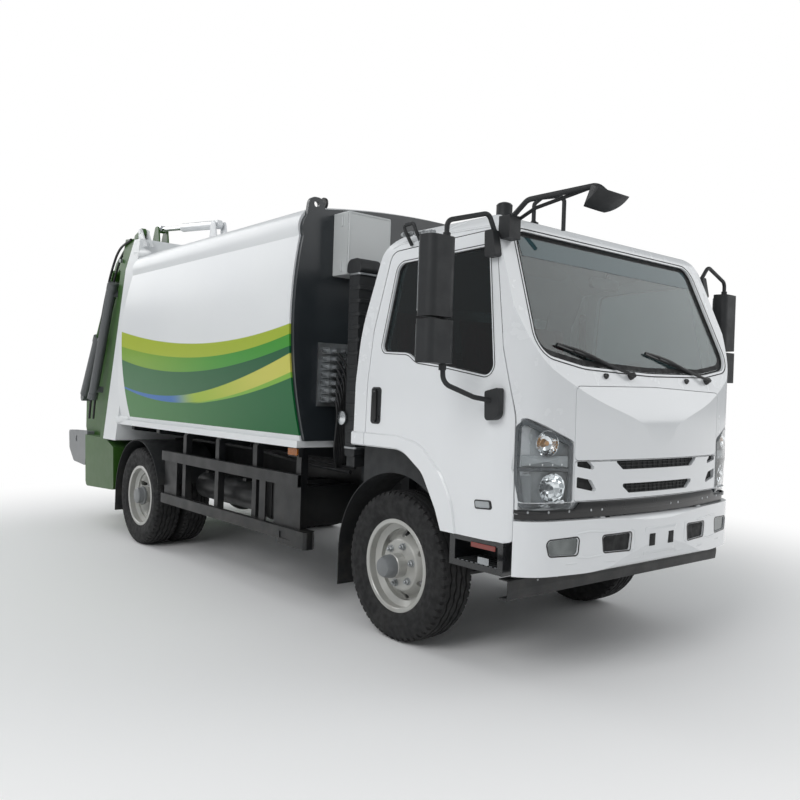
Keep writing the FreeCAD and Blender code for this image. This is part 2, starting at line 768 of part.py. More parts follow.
def slide_barrel():
    """Outside packing cylinder barrel with its foot clevis."""
    y = -slide_cylinder_y
    foot = slide_point(0)
    start = slide_point(30)
    end = slide_point(slide_barrel_length)
    barrel = tube((start[0], y, start[1]), (end[0], y, end[1]), slide_barrel_radius, slide_rod_radius + 0.3)
    base = rod((start[0], y, start[1]), slide_at(slide_barrel_foot, y), slide_barrel_radius)
    eye = rod((foot[0], y - 24, foot[1]), (foot[0], -(tail_half_width - 96), foot[1]), 44)
    gland = tube(slide_at(slide_barrel_length - 50, y), slide_at(slide_barrel_length + 10, y),
                 slide_barrel_radius + 5, slide_rod_radius + 0.3)
    return fuse([barrel, base, eye, gland])


def slide_at(distance, y):
    point = slide_point(distance)
    return (point[0], y, point[1])


def packer_slide():
    """Carriage between the side plates, its ears through the slots and its two rods."""
    half = tail_half_width - 96 - tail_plate - packer_side_gap
    nx = -slide_direction[1]
    nz = slide_direction[0]
    top = slide_point(slide_open_length + 20)
    hinge_x, hinge_z = blade_hinge
    rise = blade_tube_radius + fit_gap
    plate = prism([(top[0] + nx * 40, top[1] + nz * 40, 20), (hinge_x - 66, hinge_z + rise + 62, 30),
                   (hinge_x - 50, hinge_z + rise, 20), (hinge_x + 50, hinge_z + rise, 20),
                   (hinge_x + 80, hinge_z + rise + 112, 30), (top[0] - nx * 40, top[1] - nz * 40, 20)],
                  "xz", -half, half)
    hollow = prism([(top[0] + nx * 14, top[1] + nz * 14 - 40, 10), (hinge_x - 30, hinge_z + rise + 88, 10),
                    (hinge_x + 44, hinge_z + rise + 122, 10), (top[0] - nx * 14, top[1] - nz * 14 - 40, 10)],
                   "xz", -half + 40, half - 40)
    pieces = [plate.cut(hollow), rod((hinge_x, -half, hinge_z), (hinge_x, half, hinge_z), blade_pin_radius)]
    for side in (-1, 1):
        inner, outer = sorted((side * (half - blade_lug_width), side * half))
        pieces.append(prism([(hinge_x - 44, hinge_z + rise + 20), (hinge_x - 44, hinge_z), (hinge_x + 44, hinge_z),
                             (hinge_x + 44, hinge_z + rise + 20)], "xz", inner, outer))
        pieces.append(rod((hinge_x, inner, hinge_z), (hinge_x, outer, hinge_z), 44))
    ear_half = 34.0
    for side in (-1, 1):
        lo = slide_point(slide_open_length - 46)
        hi = slide_point(slide_open_length + 46)
        ear = prism([(lo[0] + nx * ear_half, lo[1] + nz * ear_half, 14), (hi[0] + nx * ear_half, hi[1] + nz * ear_half, 14),
                     (hi[0] - nx * ear_half, hi[1] - nz * ear_half, 14), (lo[0] - nx * ear_half, lo[1] - nz * ear_half, 14)],
                    "xz", side * (half - 20), side * (slide_cylinder_y + 26))
        pieces.append(ear)
        y = side * slide_cylinder_y
        rod_end = slide_barrel_foot + slide_stroke + 14
        pieces.append(rod(slide_at(rod_end, y), slide_at(slide_open_length, y), slide_rod_radius))
    return fuse(pieces)


def packer_blade():
    """Curved sweep blade on a bored hinge tube, notched round the slide's lugs."""
    half = tail_half_width - 96 - tail_plate - packer_side_gap
    x, z = blade_hinge
    blade = prism([(x - 36, z + 20), (x - 10, z + 40 - blade_length * 0.55, 200),
                   (x + 90, z + 40 - blade_length, 10), (x + 130, z + 54 - blade_length, 6),
                   (x + 62, z + 40 - blade_length * 0.5, 200), (x + 36, z + 20)],
                  "xz", -half, half)
    for side in (-1, 1):
        room = rod((x, side * (half - blade_lug_width - fit_gap), z), (x, side * (half + 10), z),
                   blade_tube_radius + fit_gap)
        blade = blade.cut(room)
    end = half - blade_lug_width - fit_gap
    barrel = rod((x, -end, z), (x, end, z), blade_tube_radius)
    bore = rod((x, -half, z), (x, half, z), blade_pin_radius + running_clearance)
    return blade.fuse(barrel).cut(bore).removeSplitter()


# Cab

def cab_side_profile(inset):
    """Side outline of the cab; levels and the wheel arch are cut later."""
    low = cab_sill_z - 200
    points = [(cab_rear_low_x + inset, low), (cab_rear_low_x + 24 + inset, 1746, 900),
              (-150 + inset, 2200 - inset * 0.5, 220), (20, 2318 - inset, 160), (400, 2352 - inset, 900),
              (700 - inset * 0.6, 2290 - inset, 90), (1000 - inset, 1540, 120),
              (1088 - inset, 1300, 300), (1096 - inset, 1000, 200), (1088 - inset, low)]
    return points


def cab_plan(half, front, rear):
    """Plan wire: straight sides, rounded corners tangent to one wide front arc."""
    centre_x = front - cab_front_radius
    r = cab_corner_radius
    corner_x = centre_x + math.sqrt((cab_front_radius - r) ** 2 - (half - r) ** 2)
    turn = math.atan2(half - r, corner_x - centre_x)
    meet = V(centre_x + cab_front_radius * math.cos(turn), cab_front_radius * math.sin(turn), 0)
    between = (math.pi / 2 + turn) / 2
    middle = V(corner_x + r * math.cos(between), half - r + r * math.sin(between), 0)
    edges = [Part.LineSegment(V(rear, -half, 0), V(corner_x, -half, 0)).toShape(),
             Part.Arc(V(corner_x, -half, 0), V(middle.x, -middle.y, 0), V(meet.x, -meet.y, 0)).toShape(),
             Part.Arc(V(meet.x, -meet.y, 0), V(front, 0, 0), meet).toShape(),
             Part.Arc(meet, middle, V(corner_x, half, 0)).toShape(),
             Part.LineSegment(V(corner_x, half, 0), V(rear, half, 0)).toShape(),
             Part.LineSegment(V(rear, half, 0), V(rear, -half, 0)).toShape()]
    return Part.Wire(edges)


def plan_block(half, front, rear, low_z, high_z):
    face = Part.Face(cab_plan(half, front, rear))
    face.translate(V(0, 0, low_z))
    return face.extrude(V(0, 0, high_z - low_z))


def cab_section(inset):
    half = cab_half_width - inset
    top = 2352 - inset
    return [(-half, 500), (-half, 1440, 500), (-half + 75, 2230 - inset * 0.5, 130),
            (-half + 190, top - 36, 120),
            (0, top, 3000), (half - 190, top - 36, 120), (half - 75, 2230 - inset * 0.5, 130),
            (half, 1440, 500), (half, 500)]


def cab_block(inset, low_z):
    side = prism(cab_side_profile(inset), "xz", -1100, 1100)
    plan = plan_block(cab_half_width - inset, cab_front_x - inset, cab_rear_low_x + inset, low_z, 2500)
    section = prism(cab_section(inset), "yz", -600, 1300)
    return side.common(plan).common(section)


def door_outline(grow):
    g = grow
    return [(-178 - g, arch_top_z - g), (-160 - g, 1741, 300), (-66 - g, 2178 + g, 70),
            (722 + g * 0.7, 2206 + g, 40),
            (830 + g, 1700, 600), (door_front_x - 4 + g, 1300, 400), (door_front_x + g, 700 - g, 20),
            (478 - g, 700 - g),
            (430 - g, 800 - g, 160), (320 - g, 975 - g, 160), (150, arch_top_z - g, 220)]


def window_outline():
    return [(-74, 1618, 40), (0, 2108, 60), (688, 2126, 40), (806, 1478, 50), (470, 1532, 300), (236, 1560, 120),
            (160, 1606, 120)]


arch_points = [(150, arch_top_z, 220), (320, 975, 160), (430, 800, 160), (474, 700)]


def arch_cut():
    """Wheel arch cut through under the cab floor."""
    return prism([(-800, 400), (-800, arch_top_z)] + arch_points + [(478, 400)], "xz", -1200, 1200)


def arch_lip(side):
    """Raised lip that follows the wheel arch on one side of the cab."""
    low_y, high_y = sorted((side * (cab_half_width - 12), side * (cab_half_width + lip_height)))
    ridge = [(560, 838, 200), (470, 985, 200), (300, 1130, 260), (100, 1160, 300)]
    outline = [(cab_rear_low_x + 2, arch_top_z)] + arch_points + [(588, 700)] + ridge
    band = prism(outline + [(cab_rear_low_x + 2, 1160)], "xz", low_y, high_y)
    rims = [edge for edge in band.Edges
            if abs(edge.BoundBox.YMin - side * (cab_half_width + lip_height)) < 0.01
            and abs(edge.BoundBox.YMax - side * (cab_half_width + lip_height)) < 0.01
            and edge.BoundBox.ZMax > 700.5 and edge.BoundBox.XMin > cab_rear_low_x + 3]
    return band.makeChamfer(lip_height - 1.5, rims)


windscreen_points = [(-880, 1600, 110), (-806, 2222, 90), (806, 2222, 90), (880, 1600, 110), (560, 1548, 600),
                     (0, 1534, 2000), (-560, 1548, 600)]
rear_window_points = [(-480, 1650, 60), (-480, 2080, 60), (480, 2080, 60), (480, 1650, 60)]


def skin(depth_out, depth_in, low_z):
    """Layer of the cab's outer form between two depths below its surface."""
    return cab_block(depth_out, low_z).cut(cab_block(depth_in, low_z - 10))


front_panel_points = [(-655, 1092, 24), (-660, 1448, 30), (0, 1462, 2000), (660, 1448, 30), (655, 1092, 24)]
grille_points = [(-652, 896, 12), (-655, 1084, 12), (655, 1084, 12), (652, 896, 12)]
strip_points = [(-1100, cab_front_low_z, 6), (-1100, 888), (1100, 888), (1100, cab_front_low_z, 6)]


def lamp_points(side, grow):
    g = grow
    return [(side * (664 - g), 896 - g, 10), (side * (664 - g), 1180 + g, 30), (side * (950 + g), 1306 + g, 40),
            (side * (962 + g), 1050, 60), (side * (935 + g), 896 - g, 30)]


def slot_points(half_low, half_high, low, high):
    return [(-half_low, low, 10), (-half_high, high, 10), (half_high, high, 10), (half_low, low, 10)]


def cab_lug():
    """Plate under the cab front with the bore the cab tilts on."""
    x, z = cab_pivot
    near = -rail_outer_y - fit_gap
    far = near - cab_lug_width
    lug = prism([(x - cab_lug_radius, z), (x, z), (x, z + cab_lug_radius), (x - 12, cab_front_low_z - 4),
                 (x - 12, cab_front_low_z + 20), (x - 70, cab_front_low_z + 20)], "xz", far, near)
    ring = rod((x, far, z), (x, near, z), cab_lug_radius)
    bore = rod((x, far - 1, z), (x, near + 1, z), cab_pivot_radius + running_clearance)
    return lug.fuse(ring).cut(bore)


def cab_step(side):
    """Step box under the door's front part, with its tread pocket."""
    low = side * (cab_half_width - 24)
    deep = side * (cab_half_width - 270)
    body = box(522, 884, low, deep, 540, cab_sill_z)
    pocket = box(560, 850, side * cab_half_width, side * (cab_half_width - 200), 570, 670)
    riser = box(522, 830, side * (cab_half_width - 270), side * (cab_half_width - 142), cab_sill_z - 20, 860)
    return body.cut(pocket).fuse(riser)


def cab_pieces():
    """Cab shell, doors, panes and the pieces let into the cab's skin."""
    outer = cab_block(0.0, cab_sill_z)
    cavity = cab_block(cab_wall, cab_floor_z)
    full_inside = cab_block(cab_wall, cab_sill_z - 100)
    footwell = box(530, 1300, -1200, 1200, 904, cab_floor_z + 1).common(full_inside)
    shell = outer.cut(cavity).cut(footwell)
    shell = shell.cut(arch_cut())
    shell = shell.cut(box(-400, 760, -600, 600, 500, 990))
    shell = shell.cut(box(440, 984, -905, 905, 500, 846))
    shell = shell.cut(box(900, 1300, -1200, 1200, 500, cab_front_low_z))
    doors = []
    glasses = []
    door_skin = outer.cut(full_inside)
    glass_zone = skin(glass_depth, glass_depth + glass_thickness, 900)
    for side in (-1, 1):
        low_y = min(side * door_inner_y, side * 1200)
        high_y = max(side * door_inner_y, side * 1200)
        opening = prism(door_outline(door_seam), "xz", low_y, high_y)
        leaf = prism(door_outline(0.0), "xz", low_y, high_y)
        window = prism(window_outline(), "xz", low_y, high_y)
        glasses.append(glass_zone.common(window))
        lip = arch_lip(side)
        doors.append(door_skin.common(leaf).cut(window).fuse(lip.common(leaf)).removeSplitter())
        shell = shell.cut(opening).fuse(lip.cut(opening))
        corner_y = side * (door_inner_y - fit_gap)
        shell = shell.cut(box(door_front_x - 60, door_front_x + door_seam, corner_y, side * 1000, 840, 910))
    screen_cut = prism(windscreen_points, "yz", 500, 1300)
    back_cut = prism(rear_window_points, "yz", -500, 0)
    windscreen = glass_zone.common(screen_cut)
    rear_glass = glass_zone.common(back_cut)
    shell = shell.cut(screen_cut).cut(back_cut)
    pieces = {}
    panel_zone = skin(0.0, panel_depth, 780).common(box(600, 1300, -1200, 1200, 780, 1500))
    deep_zone = skin(0.0, panel_depth + 1.0, 770).common(box(600, 1300, -1200, 1200, 770, 1500))
    lamp_zone = skin(2.0, 54.0, 780)
    lamp_room = skin(0.0, 55.0, 770)
    front_panel = panel_zone.common(prism(front_panel_points, "yz", 900, 1300))
    shell = shell.cut(deep_zone.common(prism(
        [(-658, 1089, 26), (-663, 1451, 32), (0, 1465, 2000), (663, 1451, 32), (658, 1089, 26)], "yz", 900, 1300)))
    grille = panel_zone.common(prism(grille_points, "yz", 900, 1300))
    for slot in (slot_points(322, 392, 1041, 1092), slot_points(272, 342, 921, 970)):
        grille = grille.cut(prism(slot, "yz", 900, 1300))
    for side in (-1, 1):
        for slot in ([(side * 502, 1039, 10), (side * 578, 1100, 6), (side * 640, 1100, 6), (side * 640, 1062, 6)],
                     [(side * 500, 933, 10), (side * 546, 995, 8), (side * 640, 1012, 6), (side * 640, 960, 6)]):
            grille = grille.cut(prism(slot, "yz", 900, 1300))
    shell = shell.cut(deep_zone.common(prism(
        [(-655, 893, 12), (-658, 1087, 12), (658, 1087, 12), (655, 893, 12)], "yz", 900, 1300)))
    strip = panel_zone.common(prism(strip_points, "yz", bumper_end_x + 6, 1300))
    strip_room = prism([(-1100, 800), (-1100, 891), (1100, 891), (1100, 800)], "yz", bumper_end_x + 4, 1300)
    shell = shell.cut(deep_zone.common(strip_room))
    lamps = []
    for side in (-1, 1):
        lamps.append(lamp_zone.common(prism(lamp_points(side, 0.0), "yz", lamp_rear_x, 1300)))
        shell = shell.cut(lamp_room.common(prism(lamp_points(side, panel_seam), "yz", lamp_rear_x - 2, 1300)))
    extras = [cab_lug(), mirrored(cab_lug()), cab_step(-1), cab_step(1)]
    shell = shell.fuse(extras)
    return shell.removeSplitter(), doors, glasses, windscreen, rear_glass, front_panel, grille, strip, lamps


def dashboard():
    """Moulded dash across the cab with its binnacle and steering column."""
    half = cab_half_width - cab_wall - seat_gap
    body = prism([(700, 1120, 60), (664, 1330, 70), (760, 1440, 60), (960, 1452, 30), (1000, 1300),
                  (985, 1120, 20)],
                 "xz", -half, half)
    body = body.common(cab_block(cab_wall + seat_gap, 900))
    column = rod((820, 430, 1260), (560, 430, 1400), 34)
    binnacle = prism([(640, 1400, 20), (660, 1500, 40), (800, 1490, 60), (800, 1400)], "xz", 280, 580)
    foot = box(860, 960, -half + 120, half - 120, 910, 1130).common(cab_block(cab_wall + seat_gap, 905))
    dash = fuse([body, column, binnacle, foot])
    hinge_x, hinge_y = door_hinge
    corner = math.hypot(door_front_x - hinge_x, hinge_y - door_inner_y) + fit_gap + 1.0
    for side in (-1, 1):
        dash = dash.cut(rod((hinge_x, side * hinge_y, 800), (hinge_x, side * hinge_y, 1600), corner))
    return dash.removeSplitter()


def steering_wheel():
    """Rim, hub and three spokes square to the column."""
    ring = Part.makeTorus(205, 15)
    hub = Part.makeCylinder(46, 60, V(0, 0, -40))
    parts = [ring, hub]
    for angle in (90, 210, 330):
        spoke = box(40, 206, -17, 17, -14, 4)
        spoke.rotate(V(0, 0, 0), V(0, 0, 1), angle)
        parts.append(spoke)
    wheel = fuse(parts)
    axis = V(560 - 820, 0, 1400 - 1260).normalize()
    wheel.Placement = FreeCAD.Placement(V(560, 430, 1400) + axis * 40.3, FreeCAD.Rotation(V(0, 0, 1), axis))
    return wheel


def seats():
    """Driver's seat, and the double seat beside it, each on its own base."""
    result = []
    for low_y, high_y in ((190, 670), (-330, 150), (-850, -370)):
        base = box(-60, 330, low_y + 50, high_y - 50, cab_floor_z + seat_gap, 1200)
        cushion = prism([(-90, 1200.3, 20), (-90, 1320, 50), (380, 1335, 60), (400, 1200.3, 30)],
                        "xz", low_y, high_y)
        back = prism([(-110, 1270, 20), (-205, 1880, 50), (-110, 1892, 50), (10, 1270, 30)],
                     "xz", low_y, high_y)
        back = back.common(cab_block(cab_wall + 6, 900))
        result += [base, cushion, back.cut(cushion)]
    return result


# Front end carried by the frame

def front_bumper():
    """Wrap-round bumper with lamp pockets, air openings and plate recess."""
    outer = plan_block(cab_half_width + 4, bumper_front_x, 700, bumper_low_z, bumper_top_z)
    profile = prism([(700, bumper_low_z), (700, bumper_top_z),
                     (bumper_front_x, bumper_top_z, bumper_top_radius), (bumper_front_x + 2, 660, 300),
                     (bumper_front_x - 26, bumper_low_z, 30)], "xz", -1100, 1100)
    outer = outer.common(profile)
    inner = plan_block(cab_half_width + 4 - bumper_wall, bumper_front_x - bumper_wall, 600,
                       bumper_low_z - 1, bumper_top_z + 1)
    skin_block = outer.cut(inner).cut(box(0, bumper_end_x, -1200, 1200, 400, 1000))
    for side in (-1, 1):
        opening = [(side * 274, 636, 12), (side * 262, 722, 16), (side * 474, 718, 16), (side * 462, 640, 12)]
        skin_block = skin_block.cut(prism(opening, "yz", 900, 1300))
        pocket = [(side * 640, 640, 20), (side * 632, 722, 20), (side * 826, 714, 24), (side * 806, 644, 20)]
        pocket_solid = prism(pocket, "yz", 700, 1300)
        deep = plan_block(cab_half_width + 4 - 34, bumper_front_x - 34, 600, 500, 900)
        skin_block = skin_block.cut(pocket_solid.cut(deep))
    for y in (-plate_hole_y, plate_hole_y):
        for z in plate_hole_z:
            skin_block = skin_block.cut(rod((900, y, z), (1300, y, z), plate_hole_radius))
    for side in (-1, 1):
        slot = [(side * 18, 640, 6), (side * 18, 706, 6), (side * 42, 706, 6), (side * 42, 640, 6)]
        skin_block = skin_block.cut(prism(slot, "yz", 1000, 1300))
    x, z = cab_pivot
    for side in (-1, 1):
        near = side * (rail_outer_y - 40 - fit_gap)
        far = side * (rail_outer_y + cab_lug_width + 20)
        skin_block = skin_block.cut(rod((x, near, z), (x, far, z), cab_lug_radius + fit_gap))
        skin_block = skin_block.cut(box(frame_front_x, x + 18, near, far, z - 90, bumper_top_z + 1))
    inner_face = bumper_front_x - bumper_wall - 14
    brackets = []
    for side in (-1, 1):
        brackets.append(box(frame_front_x, inner_face + 10, side * 300, side * 352, 610, 760))
        brackets.append(box(frame_front_x, frame_front_x + 12, side * 300, side * (rail_outer_y - 44),
                            frame_top_z - rail_height, frame_top_z))
    return fuse([skin_block] + brackets)


def bumper_lamps():
    """Round-cornered front fog lamps in the bumper pockets."""
    zone = plan_block(cab_half_width + 4 - 10, bumper_front_x - 10, 600, 500, 900).cut(
        plan_block(cab_half_width + 4 - 33.7, bumper_front_x - 33.7, 500, 400, 1000))
    result = []
    for side in (-1, 1):
        lamp = prism([(side * 660, 652, 20), (side * 660, 708, 20), (side * 790, 706, 20),
                      (side * 785, 654, 20)],
                     "yz", 900, 1300)
        result.append(zone.common(lamp))
    return result


def underrun_guard():
    """Bent plate below the bumper on two drop arms from the rails."""
    x = underrun_x
    section = prism([(x - 60, 424), (x - 60, 430), (x - 6, 436, 8), (x - 6, 516), (x - 60, 516), (x - 60, 522),
                     (x, 522, 6), (x + 6, 474), (x, 424, 10)], "xz", -underrun_half, underrun_half)
    arms = []
    low_z = frame_top_z - rail_height
    for side in (-1, 1):
        arms.append(prism([(x - 120, low_z), (x - 100, 440, 20), (x - 6, 440), (x - 6, 516),
                           (x - 10, low_z)], "xz", min(side * 380, side * 396), max(side * 380, side * 396)))
    return fuse([section] + arms)


# Pieces on the rails

def engine_block():
    """Engine and gearbox as one plain block on the frame's centre line."""
    rest_y = rail_outer_y - rail_flange
    block = prism([(-735, 520, 40), (-735, 940, 30), (260, 965, 30), (260, 520, 40)], "xz", -250, 250)
    gearbox = prism([(gearbox_rear_x, 540, 40), (gearbox_rear_x, 740, 60), (-730, 790, 60), (-730, 540, 40)],
                    "xz", -170, 170)
    pieces = [block, gearbox]
    for x in (60, -600):
        pieces.append(box(x - 40, x + 40, -rest_y - 40, rest_y + 40, frame_top_z + seat_gap, frame_top_z + 40))
    return fuse(pieces)


def drive_shaft():
    """Propeller shaft between the gearbox and the final drive's nose."""
    front_x = gearbox_rear_x - seat_gap
    rear_x = -wheelbase + nose_reach + seat_gap
    shaft = rod((front_x - 40, 0, shaft_front_z), (rear_x + 40, 0, tyre_radius), 36)
    front_joint = rod((front_x - joint_length, 0, shaft_front_z), (front_x, 0, shaft_front_z), joint_radius)
    rear_joint = rod((rear_x, 0, tyre_radius), (rear_x + joint_length, 0, tyre_radius), joint_radius)
    return fuse([shaft, front_joint, rear_joint])


def tank(x0, x1, y0, y1, z0, z1, radius):
    """Rounded tank with two straps and a bracket to the rail."""
    low, high = min(y0, y1), max(y0, y1)
    body = prism([(low, z0, radius), (low, z1, radius), (high, z1, radius), (high, z0, radius)], "yz", x0, x1)
    pieces = [body]
    side = 1 if y1 > 0 else -1
    for x in (x0 + 0.22 * (x1 - x0), x0 + 0.78 * (x1 - x0)):
        strap = prism([(low - 5, z0 - 5, radius), (low - 5, z1 + 5, radius), (high + 5, z1 + 5, radius),
                       (high + 5, z0 - 5, radius)], "yz", x - 22, x + 22)
        pieces.append(strap)
        near = side * min(abs(y0), abs(y1))
        pieces.append(box(x - 30, x + 30, side * rail_outer_y, near + side * 4, max(z0 + 30, 600), z1 - 30))
    return fuse(pieces)


def air_tanks():
    """Two air vessels side by side under their hanger straps."""
    pieces = []
    rear_x, front_x = air_tank_ends
    strap_z = air_tank_z + air_tank_radius
    for y in air_tank_rows:
        pieces.append(rod((rear_x, -y, air_tank_z), (front_x, -y, air_tank_z), air_tank_radius))
    for x in (rear_x + 180, front_x - 180):
        pieces.append(box(x - 25, x + 25, -rail_outer_y, -air_tank_rows[1] - 100, strap_z + 7, strap_z + 25))
        for y in air_tank_rows:
            pieces.append(box(x - 25, x + 25, -y - 20, -y + 20, strap_z - 15, strap_z + 9))
    return fuse(pieces)


def side_guard(side):
    """Two rails on wide posts hung from the bearers, with the front foot box."""
    y_out = side * guard_y
    y_in = side * (guard_y - guard_depth)
    pieces = []
    for low in (guard_low_z, guard_high_z - guard_rail_height):
        rail = box(guard_rear_x, guard_front_x, y_out, y_in, low, low + guard_rail_height)
        groove = box(guard_rear_x - 1, guard_front_x + 1, y_in - side * 1, y_out - side * 5, low + 5,
                     low + guard_rail_height - 5)
        pieces.append(rail.cut(groove))
    for rear, front in guard_posts:
        pieces.append(box(rear, front, y_in, y_in + side * 12, guard_low_z + 6, guard_high_z - 6))
    for index in range(4):
        x = body_front_x - 80.0 - index * bearer_pitch
        pieces.append(box(x - 28, x + 28, y_in + side * 1, y_in - side * 50, guard_low_z, 1000))
    foot = prism([(guard_front_x - 212, guard_y - 92, 12), (guard_front_x + 70, guard_y - 92, 12),
                  (guard_front_x + 108, guard_y - 56, 20), (guard_front_x + 108, guard_y + 6, 24),
                  (guard_front_x - 212, guard_y + 6, 6)], "xy", 396, 504)
    room = box(guard_front_x - 200, guard_front_x + 96, guard_y - 84, guard_y - 6, 408, 498)
    window = box(guard_front_x - 190, guard_front_x - 60, guard_y - 20, guard_y + 20, 432, 476)
    foot = foot.cut(room).cut(window)
    if side < 0:
        foot = mirrored(foot)
    pieces.append(foot)
    return fuse(pieces)


def front_mudguards():
    """Arched liner over and behind each front wheel, with its flap."""
    result = []
    z = tyre_radius
    inner, outer = 520.0, 526.0
    for side in (-1, 1):
        y0, y1 = sorted((side * 640, side * guard_face_y))
        ring = tube((0, y0, z), (0, y1, z), outer, inner)
        keep = prism([(0, z), (500, z + 250), (500, 1200), (-700, 1200), (-700, z - 20)], "xz", y0, y1)
        arch = ring.common(keep)
        flap = box(-outer, -outer + 7, y0, y1, 210, z + 40)
        face_y = sorted((side * (guard_face_y - 12), side * guard_face_y))
        face = prism([(-290, z + 240), (-290, arch_top_z - 8), (146, arch_top_z - 8, 214), (314, 968, 154),
                      (423, 795, 154), (452, 730), (430, 660), (300, z + 240)], "xz", face_y[0], face_y[1])
        arch = arch.fuse(face.cut(rod((0, -1200, z), (0, 1200, z), inner)))
        hanger = box(-outer - 4, -outer + 60, side * rail_outer_y, side * 660, 660, 720).cut(
            rod((0, -1200, z), (0, 1200, z), inner + 1))
        result.append(fuse([arch, flap, hanger]))
    return result


def rear_mudguards():
    """Arched guard over each pair of rear wheels with front and rear flaps."""
    result = []
    x, z = -wheelbase, tyre_radius
    for side in (-1, 1):
        y0, y1 = sorted((side * 522, side * 1062))
        arch = tube((x, y0, z), (x, y1, z), 490, 484)
        keep = prism([(x - 600, z), (x - 600, 1200), (x + 600, 1200), (x + 600, z + 160)], "xz", y0, y1)
        flap = box(x - 491, x - 484, y0, y1, 230, z + 30)
        arm = box(x - 30, x + 30, side * rail_outer_y, side * 700, z + 480, z + 500)
        result.append(fuse([arch.common(keep), flap, arm]))
    return result


def electrical_box():
    x = body_front_x + 34
    case = prism([(-868, 2115, 8), (-868, 2510, 8), (-530, 2510, 8), (-530, 2115, 8)], "yz", x, x + 150)
    lid = prism([(-862, 2121, 8), (-862, 2504, 8), (-536, 2504, 8), (-536, 2121, 8)], "yz", x + 150, x + 158)
    return fuse([case, lid])


def valve_bank():
    """Stack of hydraulic valve slices on the bulkhead."""
    x = body_front_x + 34
    pieces = [box(x, x + 12, -960, -740, 1290, 1690)]
    for index in range(7):
        z = 1316 + index * 50
        pieces.append(box(x + 10, x + 90, -930, -790, z, z + 44))
        pieces.append(rod((x + 90, -895, z + 22), (x + 130, -895, z + 22), 14))
        pieces.append(rod((x + 90, -825, z + 22), (x + 130, -825, z + 22), 14))
        pieces.append(rod((x + 50, -930, z + 22), (x + 50, -962, z + 22), 12))
    pieces.append(box(x + 30, x + 70, -900, -820, 1320, 1660))
    return fuse(pieces)


def intake_duct():
    """Upright air intake behind the cab with its hood and foot."""
    duct = prism([(-470, 1000, 20), (-476, 2140, 20), (-376, 2140, 20), (-370, 1000, 20)], "xz", -930, -800)
    hood = prism([(-490, 2100, 20), (-486, 2180, 50), (-360, 2186, 50), (-340, 2100, 20)], "xz", -940, -790)
    foot = box(-460, -380, -920, -rail_outer_y, 940, 1010)
    leg = box(-460, -380, -rail_outer_y - 60, -rail_outer_y, 700, 1000)
    return fuse([duct, hood, foot, leg])


# Roof and door fittings

def mirror_set():
    """Right door's mirror bracket, two housings and their arm."""
    y = -mirror_y
    x = mirror_x
    half = mirror_width / 2
    main = prism([(x - mirror_depth / 2, y - half, 20), (x - mirror_depth / 2, y + half, 20),
                  (x + mirror_depth / 2, y + half - 16, 40), (x + mirror_depth / 2, y - half + 16, 40)],
                 "xy", 1742, 2112)
    low = prism([(x - mirror_depth / 2, y - half - 4, 20), (x - mirror_depth / 2, y + half + 10, 20),
                 (x + mirror_depth / 2, y + half - 10, 40), (x + mirror_depth / 2, y - half + 12, 40)],
                "xy", 1530, 1728)
    pole = rod((x + 10, y + 40, 1500), (x + 10, y + 40, 2150), 11)
    top_arm = bent_bar([(x + 10, y + 40, 2120), (x + 10, y + 40, 2190), (x + 30, -1010, 2262),
                        (x + 20, -952, 2180),
                        (x + 20, -948, 2120)], 12, 40)
    low_arm = bent_bar([(x + 10, y + 40, 1560), (x + 12, y + 44, 1440), (x + 60, -1100, 1380),
                        (x + 100, -1015, 1365)],
                       12, 60)
    plate = prism([(x + 66, 1270, 20), (x + 60, 1410, 12), (x + 150, 1430, 12), (x + 150, 1280, 40)],
                  "xz", -1030, -cab_half_width + 8)
    pad = prism([(x - 14, 2060, 12), (x - 20, 2190, 12), (x + 34, 2190, 12), (x + 60, 2060, 12)],
                "xz", -984, -940)
    return fuse([main, low, pole, top_arm, low_arm, plate, pad])


def roof_mirror():
    """Round close-view mirror on its arm ahead of the right roof corner."""
    head = (1290, -790, 2285)
    dish = Part.makeSphere(150, V(head[0] - 60, head[1], head[2] + 95))
    dish = dish.common(rod((head[0] - 20, head[1], head[2] - 70), (head[0] + 20, head[1], head[2] + 20), 112))
    base = box(742, 812, -930, -850, 2150, 2262)
    arm = bent_bar([(780, -888, 2250), (900, -905, 2320), (1220, -800, 2352), (1284, -790, 2290)], 13, 60)
    brace = bent_bar([(770, -850, 2240), (900, -850, 2290), (1180, -806, 2345)], 9, 60)
    hoop = bent_bar([(640, -560, 2300), (640, -560, 2404), (680, -548, 2432), (780, -520, 2430),
                     (800, -512, 2404),
                     (800, -512, 2250)], 11, 24)
    marker = rod((560, -700, 2300), (560, -700, 2382), 42)
    hook = bent_bar([(96, -930, 2200), (96, -975, 2262), (84, -984, 2300), (156, -975, 2306), (170, -966, 2262),
                     (170, -925, 2200)], 10, 16)
    return [fuse([dish, base, arm, brace]), hoop, marker, hook]


def wipers():
    """Two wiper arms with blades, lying on the windscreen."""
    result = []
    for pivot_y in (-190.0, 560.0):
        spindle = rod((1012, pivot_y, 1500), (1062, pivot_y, 1516), 16)
        arm = bent_bar([(1056, pivot_y, 1514), (1058, pivot_y - 60, 1530), (1010, pivot_y - 420, 1640)], 8, 30)
        blade = rod((1050, pivot_y - 130, 1545), (950, pivot_y - 560, 1690), 9)
        result.append(fuse([spindle, arm, blade]))
    return result


# Tail fittings

def lifter_brackets():
    """Grey side brackets of the tailgate that carry the bin lifter's shaft."""
    plate = prism([(-4756, 905, 10), (-5330, 890, 30), (-5300, 700, 60), (-5150, 575, 60), (-4800, 556, 30)],
                  "xz", -tail_half_width + 24, -tail_half_width + 96)
    x, z = lifter_axis
    bore = rod((x, -1200, z), (x, -800, z), lifter_shaft_radius + running_clearance)
    return both_sides(plate.cut(bore))


